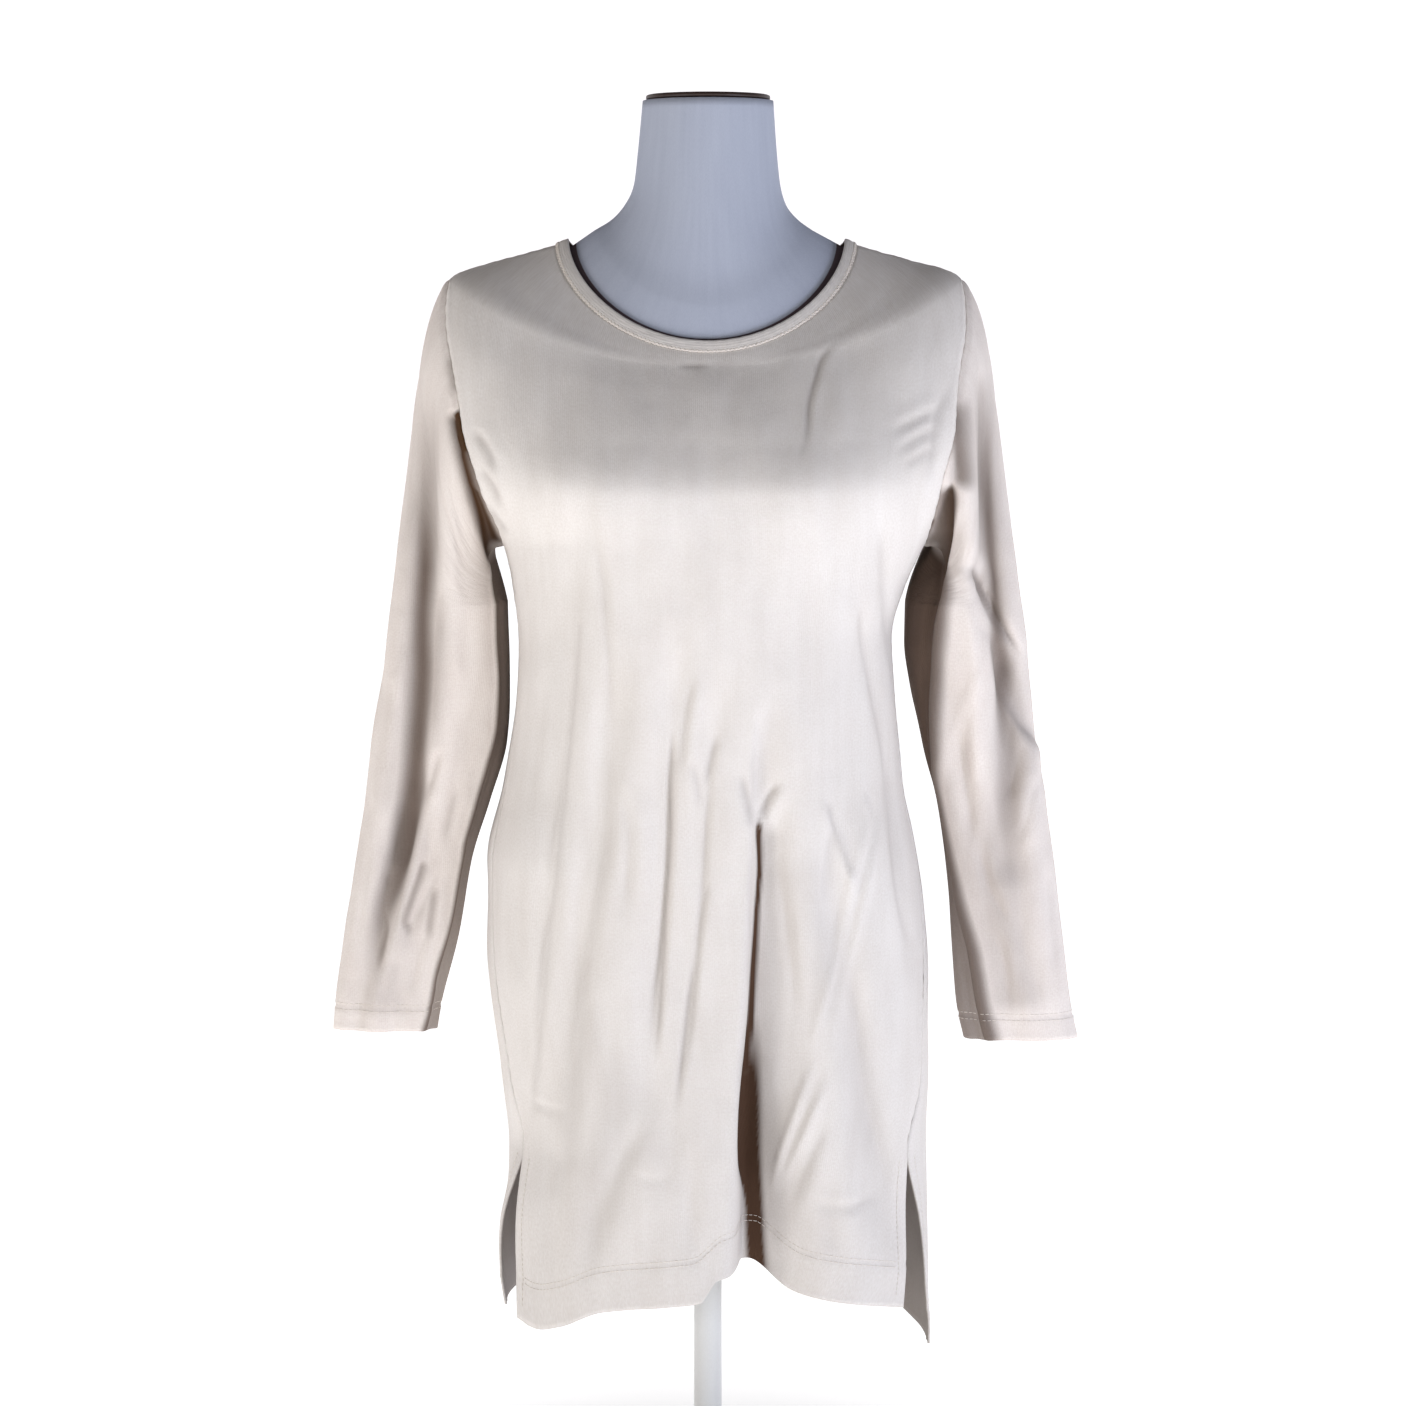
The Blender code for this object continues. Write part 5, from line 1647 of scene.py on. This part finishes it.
@dataclass
class DressForm:
    """The padded, limbless form under a smooth jersey cover, with its wooden neck cap."""

    columns: int = 144
    rows: int = 190
    bottom_z: float = 292.0
    bottom_level: float = 3.4
    plate_rise: float = 4.0
    cap_radius: float = 47.5
    cap_low: float = 998.3
    cap_high: float = 1002.5

    def skin(self, height: np.ndarray, turn: np.ndarray) -> np.ndarray:
        """Return points of the form's surface where the cloth lies over it."""
        side, front, back = (
            read_table(SLACKS, "level", column, height) for column in ("side", "front", "back")
        )
        end = np.where(np.cos(turn) > 0.0, front, back)
        room = side + (end - side) * np.abs(np.cos(turn)) ** 1.5
        return body(height, turn) - outward(body, height, turn) * (FORM_INSET + room)[..., None]

    def ring(self, height: float, turn: np.ndarray) -> np.ndarray:
        """Return one ring of the torso, flat where the armholes cut it."""
        heights = np.full_like(turn, height)
        points = self.skin(heights, turn)
        if not ARMPIT < height < SHOULDER_TIP:
            return points
        away = np.abs((turn + math.pi) % (2.0 * math.pi) - math.pi)
        for side in Side:
            ahead = float(edge_turn(np.array(height), Face.FRONT, side))
            behind = float(edge_turn(np.array(height), Face.BACK, side))
            inside = (np.sign(np.sin(turn)) == side.value) & (away > ahead) & (away < behind)
            part = ((away - ahead) / (behind - ahead))[inside]
            ends = self.skin(np.full(2, height), side.value * np.array((ahead, behind)))
            plate = ends[0] + (ends[1] - ends[0]) * part[:, None]
            opened = float(notch(np.array(height), Face.FRONT)) / FRONT_NOTCH
            plate[:, 0] += side.value * self.plate_rise * opened * np.sin(math.pi * part)
            points[inside] = plate
        return points

    def neck(self, turn: np.ndarray) -> np.ndarray:
        """Return the rings of the neck."""
        at = np.linspace(0.0, len(NECK_RINGS) - 1, 30)
        ring = NeckRing(*(monotone(range(len(NECK_RINGS)), column, at)[:, None] for column in zip(*NECK_RINGS)))
        across, along = np.sin(turn)[None], np.cos(turn)[None]
        half_x = np.where(across > 0.0, ring.right_x, -ring.left_x)
        end_y = np.where(along > 0.0, ring.front_y, ring.back_y)
        end_z = np.where(along > 0.0, ring.front_z, ring.back_z)
        z = ring.side_z + (end_z - ring.side_z) * np.abs(along) ** 1.3
        return np.stack(np.broadcast_arrays(half_x * across, end_y * np.abs(along), z), axis=-1)

    def build_cover(self, jersey: bpy.types.Material) -> bpy.types.Object:
        """Make the padded torso and neck under its jersey cover."""
        turn = np.linspace(0.0, 2.0 * math.pi, self.columns + 1)
        low = np.linspace(self.bottom_level, ARMPIT, 40, endpoint=False)
        beside = ARMPIT + (SHOULDER_TIP - ARMPIT) * (0.5 - 0.5 * np.cos(np.linspace(0.0, math.pi, 40)))
        high = np.linspace(SHOULDER_TIP, NECK_EDGE, 20)[1:]
        torso = np.stack([self.ring(height, turn) for height in (*low, *beside, *high)])
        torso[0, :, 2] = self.bottom_z
        inner = np.array((0.0, 0.25, 0.5, 0.75, 0.93))[:, None, None]
        middle = torso[0].mean(0)
        disc = middle + (torso[0] - middle) * inner
        top = self.neck(turn)
        away = np.linalg.norm(top[0] - torso[-1], axis=-1)
        gap = np.minimum(2.6 + 1.6 * np.sin(turn) ** 2, 0.6 * away)
        onward = unit(top[0] - torso[-1])
        rim = np.stack([torso[-1] + onward * (gap + more)[:, None] for more in (0.0, 0.8)])
        crown_middle = top[-1].mean(0)
        crown = crown_middle + (top[-1] - crown_middle) * inner[::-1]
        points = np.concatenate((disc, torso, rim, top, crown))
        # a painted dark band on the cover just above the neckline, as the shadow in the gap under the binding
        painted_shade = np.zeros(points.shape[:2])
        edge = len(disc) + len(torso)
        painted_shade[edge - 3 : edge + 1] = 1.0
        across = row_lengths(points)
        along = row_lengths(points.transpose(1, 0, 2)).T
        wide = np.broadcast_to(np.arange(self.columns + 1) * 7.0, across.shape)
        places = np.stack((wide, along), axis=-1).reshape(-1, 2)
        faces = strip_faces(len(points), self.columns + 1, closed=False)
        made = add_mesh("form_cover", points.reshape(-1, 3), faces.tolist(), jersey, places, painted_shade.ravel())
        bm = bmesh.new()
        bm.from_mesh(made.data)
        bmesh.ops.remove_doubles(bm, verts=bm.verts, dist=0.02 * MM)
        bmesh.ops.recalc_face_normals(bm, faces=bm.faces)
        bm.to_mesh(made.data)
        bm.free()
        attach(made, BODY)
        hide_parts("form_torso")
        return made

    def build_cap(self, wood: bpy.types.Material) -> bpy.types.Object:
        """Turn the wooden cap of the neck, with an eased rim and a shallow crown."""
        radius, low, high = self.cap_radius, self.cap_low, self.cap_high
        profile = (
            (0.0, low),
            (radius - 1.4, low),
            (radius - 0.4, low + 0.5),
            (radius, low + 1.5),
            (radius, high - 1.5),
            (radius - 0.5, high - 0.6),
            (radius - 1.8, high - 0.15),
            (radius - 6.0, high - 0.1),
            (6.0, high),
            (0.0, high),
        )
        turns = np.linspace(0.0, 2.0 * math.pi, 97)[:-1]
        low_corner, high_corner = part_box("form_neck_cap")
        middle_y = (low_corner.y + high_corner.y) / 2.0 / MM
        rows = [
            np.stack((r * np.cos(turns), middle_y + r * np.sin(turns), np.full_like(turns, z)), axis=-1)
            for r, z in profile
        ]
        points = np.concatenate(rows)
        faces = strip_faces(len(rows), len(turns), closed=True)
        made = add_mesh("neck_cap_beech", points, faces.tolist(), wood)
        bm = bmesh.new()
        bm.from_mesh(made.data)
        bmesh.ops.remove_doubles(bm, verts=bm.verts, dist=0.01 * MM)
        bmesh.ops.recalc_face_normals(bm, faces=bm.faces)
        bm.to_mesh(made.data)
        bm.free()
        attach(made, BODY)
        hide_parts("form_neck_cap")
        return made


@dataclass
class Studio:
    """A white floor, soft low light from the front and the camera of a shop photograph."""

    image: int = 1406
    focal_pixels: float = 3617.0
    sensor: float = 36.0
    distance: float = 2.8
    pitch: float = math.radians(6.0)
    aim_x: float = -0.00385
    aim_z: float = 0.62
    floor_radius: float = 14.0
    front_glow: float = 1.26
    before: float = 0.28
    overhead: float = 0.40
    left_tint: str = "#FFF7F4"
    right_tint: str = "#F4F7FF"

    def build_camera(self) -> None:
        """Stand the camera in front of the garment, looking a little down."""
        lens = bpy.data.cameras.new("camera")
        lens.sensor_width = self.sensor
        lens.lens = self.sensor * self.focal_pixels / self.image
        made = bpy.data.objects.new("camera", lens)
        made.location = (self.aim_x, -self.distance, self.aim_z + self.distance * math.tan(self.pitch))
        made.rotation_euler = (math.pi / 2.0 - self.pitch, 0.0, 0.0)
        bpy.context.scene.collection.objects.link(made)
        bpy.context.scene.camera = made

    def build_floor(self) -> bpy.types.Object:
        """Lay the white floor, which glows as a lamp, most of all before the stand; its glow is weaker near the stand,
        a painted soft shadow.
        """
        radii = np.array((0.0, 0.3, 0.6, 1.0, 1.6, 2.6, 4.2, 7.0, 10.0, self.floor_radius))
        turns = np.linspace(0.0, 2.0 * math.pi, 65)[:-1]
        points = [(r * math.cos(t), r * math.sin(t), -0.0008) for r in radii for t in turns]
        mesh = bpy.data.meshes.new("floor")
        mesh.from_pydata(points, [], strip_faces(len(radii), len(turns), closed=True).tolist())
        floor = bpy.data.objects.new("floor", mesh)
        bpy.context.scene.collection.objects.link(floor)
        white = bpy.data.materials.new("floor_matt_white_glowing")
        white.use_nodes = True
        tree = white.node_tree
        shader = tree.nodes["Principled BSDF"]
        place = add_node(tree, "ShaderNodeTexCoord").outputs["Object"]
        radius = add_node(tree, "ShaderNodeVectorMath", {0: place}, operation="LENGTH")
        # the floor glows like a lamp, lighting the garment from below; near the stand its glow drops to about half, a
        # painted soft shadow round the base
        glow = add_node(
            tree,
            "ShaderNodeMapRange",
            {"Value": radius.outputs["Value"], "From Min": 0.1, "From Max": 0.5, "To Min": 0.55, "To Max": 1.0},
            interpolation_type="SMOOTHSTEP",
        )
        ahead = add_node(
            tree,
            "ShaderNodeMapRange",
            {
                "Value": add_node(tree, "ShaderNodeSeparateXYZ", {0: place}).outputs[1],
                "From Min": 0.1,
                "From Max": -0.9,
                "To Min": 1.0,
                "To Max": self.front_glow,
            },
            interpolation_type="SMOOTHSTEP",
        )
        both = add_node(tree, "ShaderNodeMath", {0: glow.outputs[0], 1: ahead.outputs[0]}, operation="MULTIPLY")
        shader.inputs["Base Color"].default_value = linear("#EFEFEF")
        shader.inputs["Roughness"].default_value = 0.9
        shader.inputs["Emission Color"].default_value = (1.0, 1.0, 1.0, 1.0)
        tree.links.new(both.outputs[0], shader.inputs["Emission Strength"])
        mesh.materials.append(white)
        return floor

    def build_world(self) -> None:
        """Light the room: white behind the garment, dimmer before it and overhead."""
        world = bpy.data.worlds.new("studio")
        bpy.context.scene.world = world
        world.use_nodes = True
        tree = world.node_tree
        tree.nodes.clear()
        direction = add_node(tree, "ShaderNodeTexCoord").outputs["Generated"]
        split = add_node(tree, "ShaderNodeSeparateXYZ", {0: direction})
        height = add_node(
            tree,
            "ShaderNodeMapRange",
            {"Value": split.outputs[2], "From Min": 0.12, "From Max": 0.6, "To Min": 1.0, "To Max": self.overhead},
            interpolation_type="SMOOTHSTEP",
        )
        behind = add_node(
            tree,
            "ShaderNodeMapRange",
            {"Value": split.outputs[1], "From Min": 0.1, "From Max": 0.75, "To Min": self.before, "To Max": 1.15},
            interpolation_type="SMOOTHSTEP",
        )
        both = add_node(tree, "ShaderNodeMath", {0: height.outputs[0], 1: behind.outputs[0]}, operation="MULTIPLY")
        side = add_node(tree, "ShaderNodeMapRange", {"Value": split.outputs[0], "From Min": -1.0, "From Max": 1.0})
        tint = add_node(
            tree,
            "ShaderNodeMixRGB",
            {0: side.outputs[0], 1: linear(self.left_tint), 2: linear(self.right_tint)},
        )
        glow = add_node(tree, "ShaderNodeBackground", {0: tint.outputs[0], 1: both.outputs[0]})
        add_node(tree, "ShaderNodeOutputWorld", {0: glow.outputs[0]})

    def add_lamp(self, name: str, place: tuple, target: tuple, size: float, power: float, colour: str) -> None:
        """Hang one soft square lamp that the camera doesn't see."""
        lamp = bpy.data.lights.new(name, "AREA")
        lamp.shape = "SQUARE"
        lamp.size = size
        lamp.energy = power
        lamp.color = linear(colour)[:3]
        made = bpy.data.objects.new(name, lamp)
        made.location = place
        aim = np.array(target) - np.array(place)
        flat = math.hypot(aim[0], aim[1])
        made.rotation_euler = (math.atan2(flat, -aim[2]), 0.0, math.atan2(-aim[0], aim[1]))
        made.visible_camera = False
        bpy.context.scene.collection.objects.link(made)

    def build(self) -> None:
        """Set up the camera, the floor and the lights."""
        bpy.context.scene.view_settings.view_transform = "Standard"
        self.build_camera()
        self.build_floor()
        self.build_world()
        self.add_lamp("key", (-1.5, -1.25, 0.35), (0.0, 0.0, 0.6), 0.4, 6.0, "#FFFDFB")
        self.add_lamp("fill", (1.5, -1.15, 0.4), (0.0, 0.0, 0.6), 0.5, 10.0, "#DEE7FF")


def main() -> None:
    """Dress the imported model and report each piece."""
    logging.basicConfig(level=logging.INFO, format="%(name)s: %(message)s")
    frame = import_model()

    studio = Studio()
    studio.build()

    jersey, sleeve_jersey_painted_brighter = COTTON_JERSEY.material(), SLEEVE_JERSEY_PAINTED_BRIGHTER.material()
    needle = Needle()
    pieces = [
        Panel(Face.FRONT, 236, 206, FRONT_CREASES, (0.56, 0.80), 0.36, 0.4).build(jersey, needle),
        Panel(Face.BACK, 200, 170, BACK_CREASES, (0.60, 0.84), 0.42, 2.1).build(jersey, needle),
        Sleeve(
            Side.LEFT, LEFT_SLEEVE, LEFT_SLEEVE_FOLDS, LEFT_SLEEVE_CREASES, LEFT_UNDERARM, (0.36, 0.60), 0.15, 0.9, 7.0, 0.82
        ).build(sleeve_jersey_painted_brighter, needle),
        Sleeve(
            Side.RIGHT, RIGHT_SLEEVE, RIGHT_SLEEVE_FOLDS, RIGHT_SLEEVE_CREASES, RIGHT_UNDERARM, (0.36, 0.60), 0.15, 3.3, 17.0, 0.93
        ).build(sleeve_jersey_painted_brighter, needle),
        NeckBinding().build(jersey, needle),
    ]
    stitches = needle.build("hem_and_neck_stitches", SewingThread().material())
    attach(stitches, BODY)
    pieces.append(stitches)

    form = DressForm()
    pieces.append(form.build_cover(FORM_JERSEY.material()))
    pieces.append(form.build_cap(StainedBeech().material()))

    steel = PowderCoat().material()
    for node in ("stand_base", "stand_pole", "stand_flange"):
        frame["nodes"][node].data.materials.clear()
        frame["nodes"][node].data.materials.append(steel)
        pieces.append(frame["nodes"][node])

    for piece in pieces:
        log.info("%s rides on %s", piece.name, BODY)


if __name__ == "__main__":
    main()
